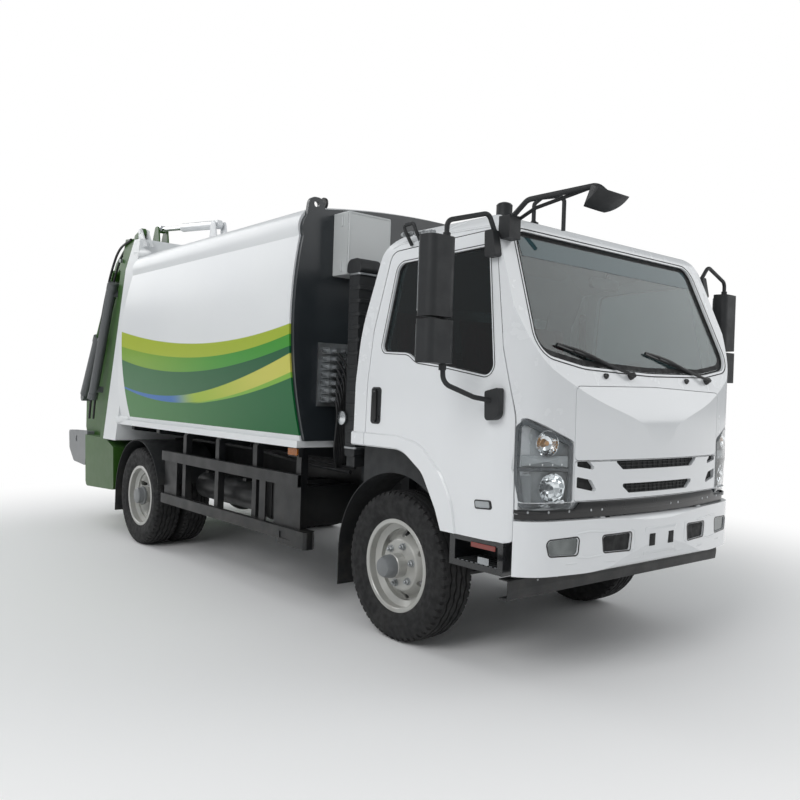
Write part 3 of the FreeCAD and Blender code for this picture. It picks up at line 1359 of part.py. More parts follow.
def bin_lifter():
    """Cross shaft, arms and toothed comb plate that grip and tip a bin."""
    x, z = lifter_axis
    end = tail_half_width - 30
    pieces = [rod((x, -end, z), (x, end, z), lifter_shaft_radius)]
    for y in (-700, -250, 250, 700):
        pieces.append(prism([(x + 34, z + 30, 20), (x + 30, z - 40, 20), (x - 90, z - 150, 30),
                             (x - 160, z - 140),
                             (x - 160, z - 40, 20), (x - 40, z + 46, 30)], "xz", y - 14, y + 14))
    comb = box(x - 176, x - 158, -860, 860, z - 260, z - 30)
    pieces.append(comb)
    for index in range(9):
        y = -800 + index * 200
        pieces.append(prism([(x - 172, z - 60), (x - 172, z - 110), (x - 240, z - 40, 10), (x - 232, z - 10, 8),
                             (x - 210, z - 12, 6)], "xz", y - 22, y + 22))
    pieces.append(box(x - 240, x - 160, -860, 860, z - 276, z - 256))
    return fuse(pieces)


def rear_lamps():
    result = []
    for side in (-1, 1):
        low_y, high_y = sorted((side * 600, side * 860))
        result.append(prism([(-4733.2, 470), (-4781.2, 548), (-4850, 548, 8), (-4850, 470, 8)],
                            "xz", low_y, high_y))
    return result


def lift_direction():
    way = V(lift_eye[0] - lift_base[0], 0, lift_eye[1] - lift_base[1])
    return way.normalize()


def lift_barrel(side):
    way = lift_direction()
    base = V(lift_base[0], side * lift_y, lift_base[1])
    barrel = Part.makeCylinder(lift_barrel_radius, lift_barrel_length, base + way * 30.0, way)
    bore = Part.makeCylinder(lift_rod_radius + 0.3, lift_barrel_length, base + way * 110.0, way)
    eye = rod((base.x, base.y - 22, base.z), (base.x, base.y + 22, base.z), 36)
    pin_bore = rod((base.x, base.y - 60, base.z), (base.x, base.y + 60, base.z), 16 + running_clearance)
    return fuse([barrel.cut(bore), eye]).cut(pin_bore)


def lift_rod(side):
    way = lift_direction()
    tip = V(lift_eye[0], side * lift_y, lift_eye[1])
    base = V(lift_base[0], side * lift_y, lift_base[1])
    length = (tip - base).Length
    start = base + way * 360.0
    shaft = Part.makeCylinder(lift_rod_radius, length - 360.0 - 20.0, start, way)
    eye = rod((tip.x, tip.y - 24, tip.z), (tip.x, tip.y + 24, tip.z), 34)
    pin = rod((tip.x, tip.y - 30, tip.z), (tip.x, tip.y + 30, tip.z), 15)
    return fuse([shaft, eye, pin])


def lift_base_bracket(side):
    """Clevis on the body roof for a lift cylinder's foot."""
    x, z = lift_base
    y = side * lift_y
    pieces = [prism([(x - 60, 2540), (x - 30, z + 24, 24), (x + 30, z + 24, 24), (x + 90, 2540)],
                    "xz", y + offset, y + offset + 12) for offset in (-53, 41)]
    pieces.append(rod((x, y - 53, z), (x, y + 53, z), 16))
    return fuse(pieces)


def lift_ears(side):
    """Pair of ears on the tailgate roof on both sides of a lift rod's eye."""
    x, z = lift_eye
    y = side * lift_y
    return [prism([(x - 110, 2690), (x - 34, z + 20, 26), (x + 30, z + 22, 26), (x + 70, 2672)],
                  "xz", y + offset, y + offset + 14) for offset in (-49, 35)]


def push_plate():
    """Push-out plate: faced plate with a raked skirt and side runners."""
    low = body_floor_z + body_wall + push_plate_gap
    section = body_section(body_wall + push_plate_gap, low)
    face = along_x(section, push_plate_x - 30, push_plate_x)
    ribs = []
    for y in (-600, -200, 200, 600):
        ribs.append(box(push_plate_x - 1, push_plate_x + 50, y - 10, y + 10, low + 30, 2380))
    runners = [box(push_plate_x - 200, push_plate_x + 20, side * 640, side * 720,
                   body_floor_z + body_wall + seat_gap, low + 40) for side in (-1, 1)]
    return fuse([face] + ribs + runners)


def main():
    frame = fuse([chassis_frame(), subframe()] + both_sides(cab_mount()))
    write("chassis_frame", frame)
    write("front_axle", front_axle())
    write("rear_axle", [rear_axle(), drive_shaft()])
    write("leaf_springs", springs_and_hangers())
    write("engine_block", engine_block())
    write("rail_tanks", [tank(-1900, -960, 470, 940, 470, 770, 60), tank(-1420, -920, -480, -930, 500, 760, 16),
                         air_tanks()])
    write("front_bumper", front_bumper())
    write("fog_lamps", bumper_lamps())
    write("underrun_guard", underrun_guard())
    write("side_guards", [side_guard(side).cut(frame) for side in (-1, 1)])
    write("front_mudguards", front_mudguards())
    write("rear_mudguards", rear_mudguards())
    write("front_bulkhead", front_bulkhead())
    write("electrical_box", electrical_box())
    write("valve_bank", valve_bank())
    write("intake_duct", intake_duct())
    body = fuse([load_body(), lift_base_bracket(-1), lift_base_bracket(1)])
    ring = fuse([rear_frame()] + both_sides(hinge_brackets()))
    for side in (-1, 1):
        for spot in (fairing_low, fairing_high):
            ring = ring.fuse(corner_fairing(side, spot).cut(body))
    write("load_body", body)
    write("rear_frame", ring.removeSplitter())
    write("push_plate", push_plate())
    tail = tailgate_shell()
    write("tailgate_shell", fuse([tail] + lift_ears(-1) + lift_ears(1)))
    write("tailgate_posts", tailgate_posts())
    write("packer_cylinders", both_sides(slide_barrel()))
    write("packer_slide", packer_slide())
    write("packer_blade", packer_blade())
    write("lifter_brackets", lifter_brackets())
    write("bin_lifter", bin_lifter())
    write("rear_lamps", rear_lamps())
    for name, side in (("left", 1), ("right", -1)):
        write("lift_barrel_" + name, lift_barrel(side))
        write("lift_rod_" + name, lift_rod(side))
    shell, doors, glasses, windscreen, rear_glass, front_panel, grille, strip, lamps = cab_pieces()
    write("cab_shell", shell)
    write("front_panel", front_panel)
    write("grille", [grille])
    write("front_strip", strip)
    write("headlamps", lamps)
    write("door_left", doors[1])
    write("door_right", mirrored(doors[1]))
    write("door_glass_left", glasses[1])
    write("door_glass_right", mirrored(glasses[1]))
    write("cab_glass", [windscreen, rear_glass])
    write("dashboard", dashboard())
    write("steering_wheel", steering_wheel())
    write("seats", seats())
    cab_form = cab_block(0.0, cab_sill_z)
    write("roof_mirror", [fitting.cut(cab_form) for fitting in roof_mirror()])
    write("wipers", [wiper.cut(cab_form) for wiper in wipers()])
    write("mirrors_right", mirror_set().cut(cab_form))
    write("mirrors_left", mirrored(mirror_set().cut(cab_form)))
    write("knuckle_left", knuckle())
    write("knuckle_right", mirrored(knuckle()))
    front = front_rim()
    outer_rear, inner_rear = rear_rims()
    for name, side in (("left", 1), ("right", -1)):
        write("front_tyre_" + name, tyre(0.0, side * front_wheel_y))
        write("front_rim_" + name, place_wheel(front, 0.0, side * front_wheel_y))
        tyres = [tyre(-wheelbase, side * rear_outer_wheel_y),
                 tyre(-wheelbase, side * (rear_outer_wheel_y - twin_spacing))]
        write("rear_tyres_" + name, tyres)
        write("rear_rims_" + name, [place_wheel(outer_rear, -wheelbase, side * rear_outer_wheel_y),
                                    place_wheel(inner_rear, -wheelbase, side * rear_outer_wheel_y)])


main()
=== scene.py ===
"""Looks of the garbage truck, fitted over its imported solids."""
import bpy
import bmesh
import math
from mathutils import Matrix, Vector
from mathutils.bvhtree import BVHTree


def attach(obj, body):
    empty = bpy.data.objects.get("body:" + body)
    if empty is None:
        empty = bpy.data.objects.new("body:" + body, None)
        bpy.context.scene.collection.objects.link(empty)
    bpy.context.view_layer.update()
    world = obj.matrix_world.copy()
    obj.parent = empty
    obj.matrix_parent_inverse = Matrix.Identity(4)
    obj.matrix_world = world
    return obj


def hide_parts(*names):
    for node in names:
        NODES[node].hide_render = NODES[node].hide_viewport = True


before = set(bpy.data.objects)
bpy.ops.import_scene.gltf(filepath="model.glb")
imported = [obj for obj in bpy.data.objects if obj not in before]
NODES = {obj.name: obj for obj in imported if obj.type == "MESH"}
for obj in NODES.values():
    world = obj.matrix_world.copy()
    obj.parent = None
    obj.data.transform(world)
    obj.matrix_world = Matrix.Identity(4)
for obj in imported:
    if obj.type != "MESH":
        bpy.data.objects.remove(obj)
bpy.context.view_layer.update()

# Millimetres, from the ground under the middle of the front axle: x forward, y left, z up.
ROW_X = 1981.5
AXLE_Z = 420
WHEELBASE = 3365
FRONT_TYRE_Y = 800
REAR_TYRES_Y = (930, 668)
SIDES = (("left", 1), ("right", -1))
BACK = Vector((-1, 0, 0))
# A ray is the plane of a flat drawing, where the ray starts along the third axis, and its way.
FRONT = ("yz", 1700, BACK)
FROM_CAB = ("yz", 60, BACK)


def at(x, y, z):
    """Point given in millimetres from the front axle, in the row's metres."""
    return Vector(((x + ROW_X) / 1000, y / 1000, z / 1000))


def in_scene(name, data):
    """New object that holds this data, linked to the scene."""
    obj = bpy.data.objects.new(name, data)
    bpy.context.scene.collection.objects.link(obj)
    return obj


# Materials

class Graph:
    """One material and short calls that add its nodes."""

    def __init__(self, name):
        self.mat = bpy.data.materials.new(name)
        self.mat.use_nodes = True
        self.tree = self.mat.node_tree
        self.bsdf = self.tree.nodes["Principled BSDF"]
        self.place = self.tree.nodes.new("ShaderNodeTexCoord").outputs["Object"]

    def node(self, kind, out=0, props=None, **inputs):
        """Output of a new node; inputs are named, or numbered as i0, i1 and so on."""
        made = self.tree.nodes.new("ShaderNode" + kind)
        for key, value in (props or {}).items():
            setattr(made, key, value)
        for key, value in inputs.items():
            numbered = key[0] == "i" and key[1:].isdigit()
            self.put(made.inputs[int(key[1:]) if numbered else key.replace("_", " ")], value)
        return made.outputs[out]

    def put(self, socket, value):
        if isinstance(value, bpy.types.NodeSocket):
            self.tree.links.new(value, socket)
        else:
            socket.default_value = value

    def math(self, op, a, b=0.0, c=0.0):
        return self.node("Math", props={"operation": op}, i0=a, i1=b, i2=c)

    def mix(self, fac, a, b):
        return self.node("Mix", out=2, props={"data_type": "RGBA"}, i0=fac, i6=a, i7=b)

    def noise(self, scale, detail=3.0, rough=0.5, where=None):
        return self.node("TexNoise", Vector=where or self.place, Scale=scale, Detail=detail, Roughness=rough)

    def span(self, value, low, high, out_low=0.0, out_high=1.0):
        """Value carried from one range to another along a smooth step."""
        return self.node("MapRange", props={"interpolation_type": "SMOOTHSTEP"},
                         Value=value, i1=low, i2=high, i3=out_low, i4=out_high)

    def stretch(self, x, y, z):
        return self.node("Mapping", Vector=self.place, Scale=(x, y, z))

    def bump(self, height, strength, distance):
        self.set(Normal=self.node("Bump", Height=height, Strength=strength, Distance=distance))

    def set(self, **values):
        for key, value in values.items():
            self.put(self.bsdf.inputs[key.replace("_", " ")], value)


def blend(tree, factor, first, second, end):
    """Sends a mix of two shaders to an output node."""
    mix = tree.nodes.new("ShaderNodeMixShader")
    for source, socket in zip((factor, first, second), mix.inputs):
        tree.links.new(source, socket)
    tree.links.new(mix.outputs[0], end.inputs[0])


def rgb(text, gain=1.0):
    """Linear colour of a hexadecimal one."""
    out = []
    for k in (0, 2, 4):
        v = int(text[k:k + 2], 16) / 255
        out.append(gain * (v / 12.92 if v <= 0.04045 else ((v + 0.055) / 1.055) ** 2.4))
    return (*[min(v, 1.0) for v in out], 1.0)


def shaded(g, colour, amount, scale):
    """Colour with a soft cloudy variation."""
    low = tuple(v * (1 - amount) for v in colour[:3]) + (1.0,)
    high = tuple(min(1.0, v * (1 + amount)) for v in colour[:3]) + (1.0,)
    return g.mix(g.span(g.noise(scale, 4.0), 0.3, 0.7), low, high)


def dusted(g, colour, amount, top=1.0, dust="8C8478"):
    """Colour with patches of road dust, thinner up to a height in metres."""
    if not amount:
        return colour
    fall = g.span(g.node("SeparateXYZ", out=2, Vector=g.place), 0.0, top, amount, 0.0)
    patch = g.span(g.noise(9.0, 6.0, 0.65), 0.35, 0.75)
    return g.mix(g.math("MULTIPLY", fall, patch), colour, rgb(dust))


def paint(name, colour, rough=0.3, coat=0.5, shade=0.03, dust=0.12, peel=0.05, metal=0.0, top=1.0):
    """Sprayed paint with faint orange peel, a clear coat and light road dust."""
    g = Graph(name)
    g.set(Base_Color=dusted(g, shaded(g, rgb(colour), shade, 1.7), dust, top), Metallic=metal,
          Coat_Weight=coat, Coat_Roughness=0.12,
          Roughness=g.span(g.noise(11.0, 5.0), 0.25, 0.75, rough * (1 - shade), rough * (1 + shade)))
    g.bump(g.noise(180.0, 2.0), peel, 0.0004)
    return g.mat


def plastic(name, colour, rough=0.55, grain=0.25, scale=900.0, shade=0.12, dust=0.15):
    """Grained moulded plastic."""
    g = Graph(name)
    g.set(Base_Color=dusted(g, shaded(g, rgb(colour), shade, 5.0), dust),
          Roughness=g.span(g.noise(14.0, 4.0), 0.3, 0.7, rough * 0.85, rough * 1.15))
    g.bump(g.node("TexVoronoi", Vector=g.place, Scale=scale), grain, 0.0006)
    return g.mat


def steel(name, colour, rough=0.3, brush=(2.0, 300.0, 300.0), shade=0.1, wear=0.3):
    """Drawn or ground metal with fine lines along one way."""
    g = Graph(name)
    lines = g.noise(3.0, 3.0, 0.6, g.stretch(*brush))
    stain = g.span(g.noise(6.0, 6.0, 0.7), 0.5, 0.8, 0.0, wear)
    g.set(Base_Color=g.mix(stain, shaded(g, rgb(colour), shade, 8.0), rgb("6A6259")), Metallic=1.0,
          Roughness=g.span(lines, 0.3, 0.7, rough * 0.7, rough * 1.4))
    g.bump(lines, 0.15, 0.0003)
    return g.mat


def rubber(name, colour, rough=0.75, dust=0.35, top=0.5, scale=400.0, grain=0.2, powder="6E675D"):
    """Rubber with a fine grain and pale powder low down."""
    g = Graph(name)
    g.set(Base_Color=dusted(g, shaded(g, rgb(colour), 0.2, 12.0), dust, top, powder),
          Roughness=g.span(g.noise(25.0, 5.0), 0.3, 0.7, rough * 0.85, min(1.0, rough * 1.2)))
    g.bump(g.noise(scale, 4.0, 0.7), grain, 0.0008)
    return g.mat


def glazing(name, tint, rough=0.0, clear=1.0):
    """Clear or tinted pane that lets the lamps' light through."""
    g = Graph(name)
    g.set(Transmission_Weight=clear, Roughness=rough, IOR=1.45, Base_Color=shaded(g, rgb(tint), 0.03, 2.0))
    through = g.node("BsdfTransparent", i0=rgb(tint))
    shadow = g.node("LightPath", out="Is Shadow Ray")
    blend(g.tree, shadow, g.bsdf.outputs[0], through, g.tree.nodes["Material Output"])
    return g.mat


def cloth(name, colour, weave=900.0):
    """Woven cover: crossed threads, two close tones and a little sheen."""
    g = Graph(name)
    waves = [g.node("TexWave", out=1, props={"bands_direction": way}, Vector=g.place, Scale=weave / 6.3,
                    Distortion=1.2) for way in "XZ"]
    threads = g.math("MAXIMUM", *waves)
    tone = g.span(g.math("ADD", threads, g.noise(6.0, 4.0)), 0.8, 1.7)
    g.set(Base_Color=g.mix(tone, rgb(colour, 0.72), rgb(colour)), Roughness=0.9, Sheen_Weight=0.25)
    g.bump(threads, 0.4, 0.0006)
    return g.mat


def lamp_dot():
    """Pale plastic of the lamps' marker dots."""
    g = Graph("lamp_dot")
    g.set(Roughness=0.2, Coat_Weight=0.6, Base_Color=shaded(g, rgb("F7F8F8"), 0.02, 40.0))
    return g.mat


def body_livery(name):
    """White body side with the flowing green, lime and yellow bands."""
    g = Graph(name)
    x, y, z = [g.node("SeparateXYZ", out=k, Vector=g.place) for k in range(3)]
    # Each edge's height is a cubic of x: four factors, from the cube down, all in metres.
    curves = {
        "lime": (0.00458, 0.06184, -0.00635, 1.70554),
        "leaf": (0.00634, 0.06656, 0.01576, 1.60583),
        "deep": (-0.00336, 0.06651, 0.05034, 1.50696),
        "sweep": (-0.00756, 0.07484, 0.13121, 1.35995),
        "under": (-0.00766, 0.07585, 0.09498, 1.28638),
        "edge": (0.00501, 0.05225, 0.08527, 1.27669)}

    def below(key, soft=0.0025):
        line, *rest = curves[key]
        for factor in rest:
            line = g.math("MULTIPLY_ADD", x, line, factor)
        return g.span(g.math("SUBTRACT", line, z), -soft, soft)

    def along(start, end, first, last):
        return g.mix(g.span(x, start, end), rgb(first) if isinstance(first, str) else first,
                     rgb(last) if isinstance(last, str) else last)

    green = along(-1.6, 1.2, "2A7426", "04602E")
    deep = along(-1.6, 1.2, "1E6630", "085630")
    leaf = along(-1.4, 0.6, "7BA422", "3F9230")
    lime = along(-1.5, 1.2, "A8B824", "A2B436")
    swoosh = along(-0.65, -0.15, "2468AE", along(-0.25, 1.0, "9DB928", "C8C55A"))
    white = g.mix(g.span(g.noise(1.1, 2.0), 0.3, 0.7), rgb("E2E4E6"), rgb("E5E7E8"))
    colour = white
    for key, band in (("lime", lime), ("leaf", leaf), ("deep", deep), ("sweep", swoosh)):
        colour = g.mix(below(key), colour, band)
    colour = g.mix(g.math("MULTIPLY", below("under"), g.span(x, -0.3, 0.1)), colour, rgb("7BB03A"))
    colour = g.mix(below("edge", 0.003), colour, green)
    thin = g.math("MULTIPLY", below("under"), g.span(x, -0.3, -0.05, 1.0, 0.0))
    colour = g.mix(thin, colour, green)
    on_side = g.math("GREATER_THAN", g.math("ABSOLUTE", y), 0.99)
    above_sill = g.math("MULTIPLY", g.math("GREATER_THAN", z, 1.103), g.span(x, -1.585, -1.58))
    colour = g.mix(g.math("MULTIPLY", on_side, above_sill), white, colour)
    g.set(Base_Color=dusted(g, colour, 0.02, 1.3), Coat_Weight=0.05, Coat_Roughness=0.1,
          Specular_IOR_Level=0.25, Roughness=g.span(g.noise(7.0, 4.0), 0.3, 0.7, 0.3, 0.32))
    g.bump(g.noise(160.0, 2.0), 0.04, 0.0004)
    return g.mat


def cab_white():
    """White cab paint, black on the step boxes below the doors."""
    g = Graph("cab_white_paint")
    height = g.node("SeparateXYZ", out=2, Vector=g.place)
    white = dusted(g, shaded(g, rgb("E4E6E8"), 0.006, 1.2), 0.02)
    g.set(Base_Color=g.mix(g.span(height, 0.697, 0.698), rgb("17181A"), white), Coat_Weight=0.6,
          Coat_Roughness=0.1, Roughness=g.span(g.noise(11.0, 5.0), 0.25, 0.75, 0.25, 0.28))
    g.bump(g.noise(180.0, 2.0), 0.02, 0.0004)
    return g.mat


MATERIAL = {
    "white": paint("white_paint", "E6E8EA", 0.25, 0.8, 0.012, 0.03, 0.02),
    "cabwhite": cab_white(),
    "body": body_livery("body_bands"),
    "green": paint("green_paint", "2C5614", 0.42, 0.05, 0.05, 0.08, top=1.4),
    "black": paint("chassis_black", "101214", 0.45, 0.05, 0.15, 0.12, 0.15),
    "bulkhead": paint("bulkhead_black", "22272B", 0.34, 0.3, 0.1, 0.1),
    "grey": paint("grey_paint", "75787A", 0.42, 0.2, 0.06, 0.1, 0.1, top=1.4),
    "darkgrey": paint("dark_grey_paint", "56595B", 0.4, 0.2, 0.06, 0.1, 0.1, top=1.4),
    "boxgrey": paint("box_grey", "C6C9C9", 0.35, 0.3, 0.03, 0.05),
    "rim": paint("wheel_silver", "B4B4B0", 0.34, 0.4, 0.04, 0.3, 0.05, 0.25, 0.9),
    "gloss": paint("gloss_black", "0B0C0E", 0.3, 0.2, 0.1, 0.05, 0.02),
    "reflex": paint("reflector_red", "7A2A22", 0.2, 0.6, 0.1, 0.1),
    "plastic": plastic("black_plastic", "1E2022"),
    "trim": plastic("interior_trim", "35373B", 0.65, 0.35, 700.0),
    "lining": plastic("cab_lining", "7C7F83", 0.75, 0.03, 200.0, 0.05, 0.0),
    "lampgrey": plastic("lamp_grey", "A4A8AA", 0.25, 0.05, 1200.0, 0.03, 0.0),
    "lampdark": plastic("lamp_dark", "5A5E61", 0.3, 0.1, 1200.0, 0.05, 0.0),
    "bulb": plastic("bulb_glass", "C99A6C", 0.15, 0.02, 300.0, 0.05, 0.0),
    "glow": lamp_dot(),
    "rubber": rubber("seal_rubber", "131415", 0.7, 0.05),
    "tyre": rubber("tyre_rubber", "1A1A1B", 0.8, 0.16, 0.9, 500.0, 0.25, "5F5D5A"),
    "hose": rubber("hose_rubber", "17181A", 0.5, 0.1),
    "steel": steel("bright_steel", "C9CCCE", 0.22),
    "zinc": steel("zinc_plate", "A9ACAE", 0.42, (80.0, 80.0, 80.0), 0.15, 0.35),
    "chrome": steel("chrome_rod", "DADCDE", 0.08, (200.0, 3.0, 200.0), 0.02, 0.0),
    "cast": steel("cast_metal", "4B4D4E", 0.62, (40.0, 40.0, 40.0), 0.2, 0.4),
    "mirror": steel("mirror", "E4E8EA", 0.04, (40.0, 40.0, 40.0), 0.02, 0.0),
    "reflector": steel("reflector", "F0F2F3", 0.08, (60.0, 60.0, 60.0), 0.02, 0.0),
    "foglens": steel("fog_reflector", "6A6E6E", 0.16, (60.0, 8.0, 60.0), 0.25, 0.0),
    "screen": glazing("screen_glass", "9FB0B0"),
    "pane": glazing("side_glass", "5E6E70"),
    "lens": glazing("clear_lens", "F4F8FA"),
    "amber": glazing("amber_lens", "F08A1C", 0.05, 0.7),
    "red": glazing("red_lens", "B3161A", 0.08, 0.6),
    "shade": glazing("shade_band", "4E6E74", 0.0, 0.55),
    "cloth": cloth("seat_cloth", "8E2330"),
    "webbing": cloth("belt_webbing", "26282B", 1500.0)}

NODES_BY_LOOK = {
    "cabwhite": "cab_shell",
    "white": "door_left door_right front_panel grille front_bumper push_plate "
             "lift_barrel_left lift_barrel_right",
    "body": "load_body rear_frame",
    "bulkhead": "front_bulkhead",
    "boxgrey": "electrical_box",
    "black": "chassis_frame front_axle rear_axle leaf_springs rail_tanks underrun_guard side_guards",
    "cast": "engine_block knuckle_left knuckle_right",
    "plastic": "fog_lamps front_mudguards rear_mudguards intake_duct roof_mirror steering_wheel "
               "mirrors_left mirrors_right",
    "zinc": "valve_bank",
    "gloss": "front_strip wipers",
    "lens": "headlamps",
    "screen": "cab_glass",
    "pane": "door_glass_left door_glass_right",
    "trim": "dashboard",
    "cloth": "seats",
    "tyre": "front_tyre_left front_tyre_right rear_tyres_left rear_tyres_right",
    "rim": "front_rim_left front_rim_right rear_rims_left rear_rims_right",
    "green": "tailgate_shell tailgate_posts packer_slide packer_blade",
    "darkgrey": "packer_cylinders",
    "grey": "lifter_brackets bin_lifter",
    "red": "rear_lamps",
    "chrome": "lift_rod_left lift_rod_right"}
for look, names in NODES_BY_LOOK.items():
    for node_name in names.split():
        mesh_data = NODES[node_name].data
        mesh_data.materials.clear()
        mesh_data.materials.append(MATERIAL[look])


# Shape helpers

def rounded(points, closed=True, steps=6):
    """2-D points, each (u, v) or (u, v, radius), as a smooth-cornered outline."""
    out = []
    n = len(points)
    for i, p in enumerate(points):
        here = Vector(p[:2])
        if len(p) < 3 or (not closed and i in (0, n - 1)):
            out.append(here)
            continue
        a = Vector(points[i - 1][:2]) - here
        b = Vector(points[(i + 1) % n][:2]) - here
        half = a.angle(b) / 2
        reach = min(p[2] / math.tan(half), a.length * 0.49, b.length * 0.49)
        r = reach * math.tan(half)
        a.normalize()
        b.normalize()
        start, end = here + a * reach, here + b * reach
        centre = here + (a + b).normalized() * (r / math.sin(half))
        va, vb = start - centre, end - centre
        sweep = va.angle_signed(vb)
        count = max(2, int(steps * abs(sweep) / 1.2) + 1)
        for k in range(count + 1):
            out.append(centre + Matrix.Rotation(-sweep * k / count, 2) @ va)
    return out


def circle(steps):
    """Cosine and sine at even steps round a turn."""
    return [(math.cos(2 * math.pi * k / steps), math.sin(2 * math.pi * k / steps)) for k in range(steps)]


def oblong(u0, u1, v0, v1, radius):
    """Rectangle with round corners, as an outline for rounded()."""
    return [(u0, v0, radius), (u0, v1, radius), (u1, v1, radius), (u1, v0, radius)]


def lift_2d(plane, p, w):
    """Millimetre point of a flat drawing, as in the part's own source."""
    if plane == "xz":
        return at(p[0], w, p[1])
    return at(w, p[0], p[1]) if plane == "yz" else at(p[0], p[1], w)


def bent(points, bend, steps=5):
    """3-D millimetre points as row points with each inner corner rounded."""
    out = [at(*points[0])]
    for i in range(1, len(points) - 1):
        here = at(*points[i])
        a, b = at(*points[i - 1]) - here, at(*points[i + 1]) - here
        reach = min(bend / 1000, a.length * 0.48, b.length * 0.48)
        s, e = here + a.normalized() * reach, here + b.normalized() * reach
        for k in range(steps + 1):
            t = k / steps
            out.append(s * (1 - t) ** 2 + here * 2 * t * (1 - t) + e * t * t)
    out.append(at(*points[-1]))
    return out


class Kit:
    """Geometry gathered for one piece; done() makes it and starts the next."""

    def __init__(self):
        self.bm = bmesh.new()

    def loops(self, rows, closed=True, caps=True, wrap=False):
        """Skin through rows of points; closed joins each row's ends, wrap the first and last rows."""
        made = [[self.bm.verts.new(v) for v in row] for row in rows]
        n = len(rows[0])
        pairs = list(zip(made, made[1:])) + ([(made[-1], made[0])] if wrap else [])
        for low, high in pairs:
            for i in range(n if closed else n - 1):
                j = (i + 1) % n
                self.bm.faces.new((low[i], low[j], high[j], high[i]))
        if caps and not wrap:
            self.bm.faces.new(list(reversed(made[0])))
            self.bm.faces.new(made[-1])

    def box(self, x0, x1, y0, y1, z0, z1):
        a = [at(x, y, z) for z in (z0, z1) for x, y in ((x0, y0), (x1, y0), (x1, y1), (x0, y1))]
        self.loops([a[:4], a[4:]])

    def prism(self, points, plane, low, high):
        """Outline drawn on a plane, carried between two distances from it."""
        flat = rounded(points)
        self.loops([[lift_2d(plane, p, w) for p in flat] for w in (low, high)])

    def rod(self, a, b, radius):
        """Round bar between two places."""
        a, b = at(*a), at(*b)
        self.turn(a, b - a, [(0.0, radius), ((b - a).length * 1000, radius)], 28)

    def turn(self, centre, axis, profile, steps=32, caps=True):
        """Lathe: profile is (distance along axis, radius) in millimetres."""
        q = Vector(axis).to_track_quat("Z", "Y")
        rows = []
        for along, radius in profile:
            r = max(radius, 0.01) / 1000
            rows.append([centre + q @ Vector((r * u, r * v, along / 1000)) for u, v in circle(steps)])
        self.loops(rows, caps=caps)

    def pipe(self, points, radius, bend=30, steps=10, flat=1.0):
        """Round or oval tube along a bent route."""
        path = bent(points, bend)
        side = None
        rows = []
        for i, here in enumerate(path):
            ahead = (path[min(i + 1, len(path) - 1)] - path[max(i - 1, 0)]).normalized()
            side = ahead.orthogonal() if side is None else (side - ahead * side.dot(ahead))
            side.normalize()
            other = ahead.cross(side)
            rows.append([here + side * (u * radius / 1000) + other * (v * radius * flat / 1000)
                         for u, v in circle(steps)])
        self.loops(rows)

    def hexagon(self, centre, axis, across, height):
        """Nut or bolt head with a slight chamfer."""
        q = Vector(axis).to_track_quat("Z", "Y")
        r = across / 1.732 / 1000
        rows = []
        for rise, k in ((0.0, 1.0), (height * 0.85, 1.0), (height, 0.86)):
            rows.append([centre + q @ Vector((r * k * u, r * k * v, rise / 1000)) for u, v in circle(6)])
        self.loops(rows)

    def done(self, name, look, body, bevel=0.0, sharp=32, stands_for=()):
        """Makes the piece: its look, the body it rides on and the nodes it replaces."""
        bmesh.ops.recalc_face_normals(self.bm, faces=self.bm.faces[:])
        mesh = bpy.data.meshes.new(name)
        self.bm.to_mesh(mesh)
        self.bm.free()
        self.bm = bmesh.new()
        for f in mesh.polygons:
            f.use_smooth = True
        mesh.set_sharp_from_angle(angle=math.radians(sharp))
        mesh.materials.append(MATERIAL[look])
        obj = in_scene(name, mesh)
        if bevel:
            mod = obj.modifiers.new("edge", "BEVEL")
            mod.width = bevel / 1000
            mod.segments = 2
            mod.limit_method = "ANGLE"
            mod.angle_limit = math.radians(40)
            mod.harden_normals = True
        if stands_for:
            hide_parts(*stands_for)
        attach(obj, body)
        return obj


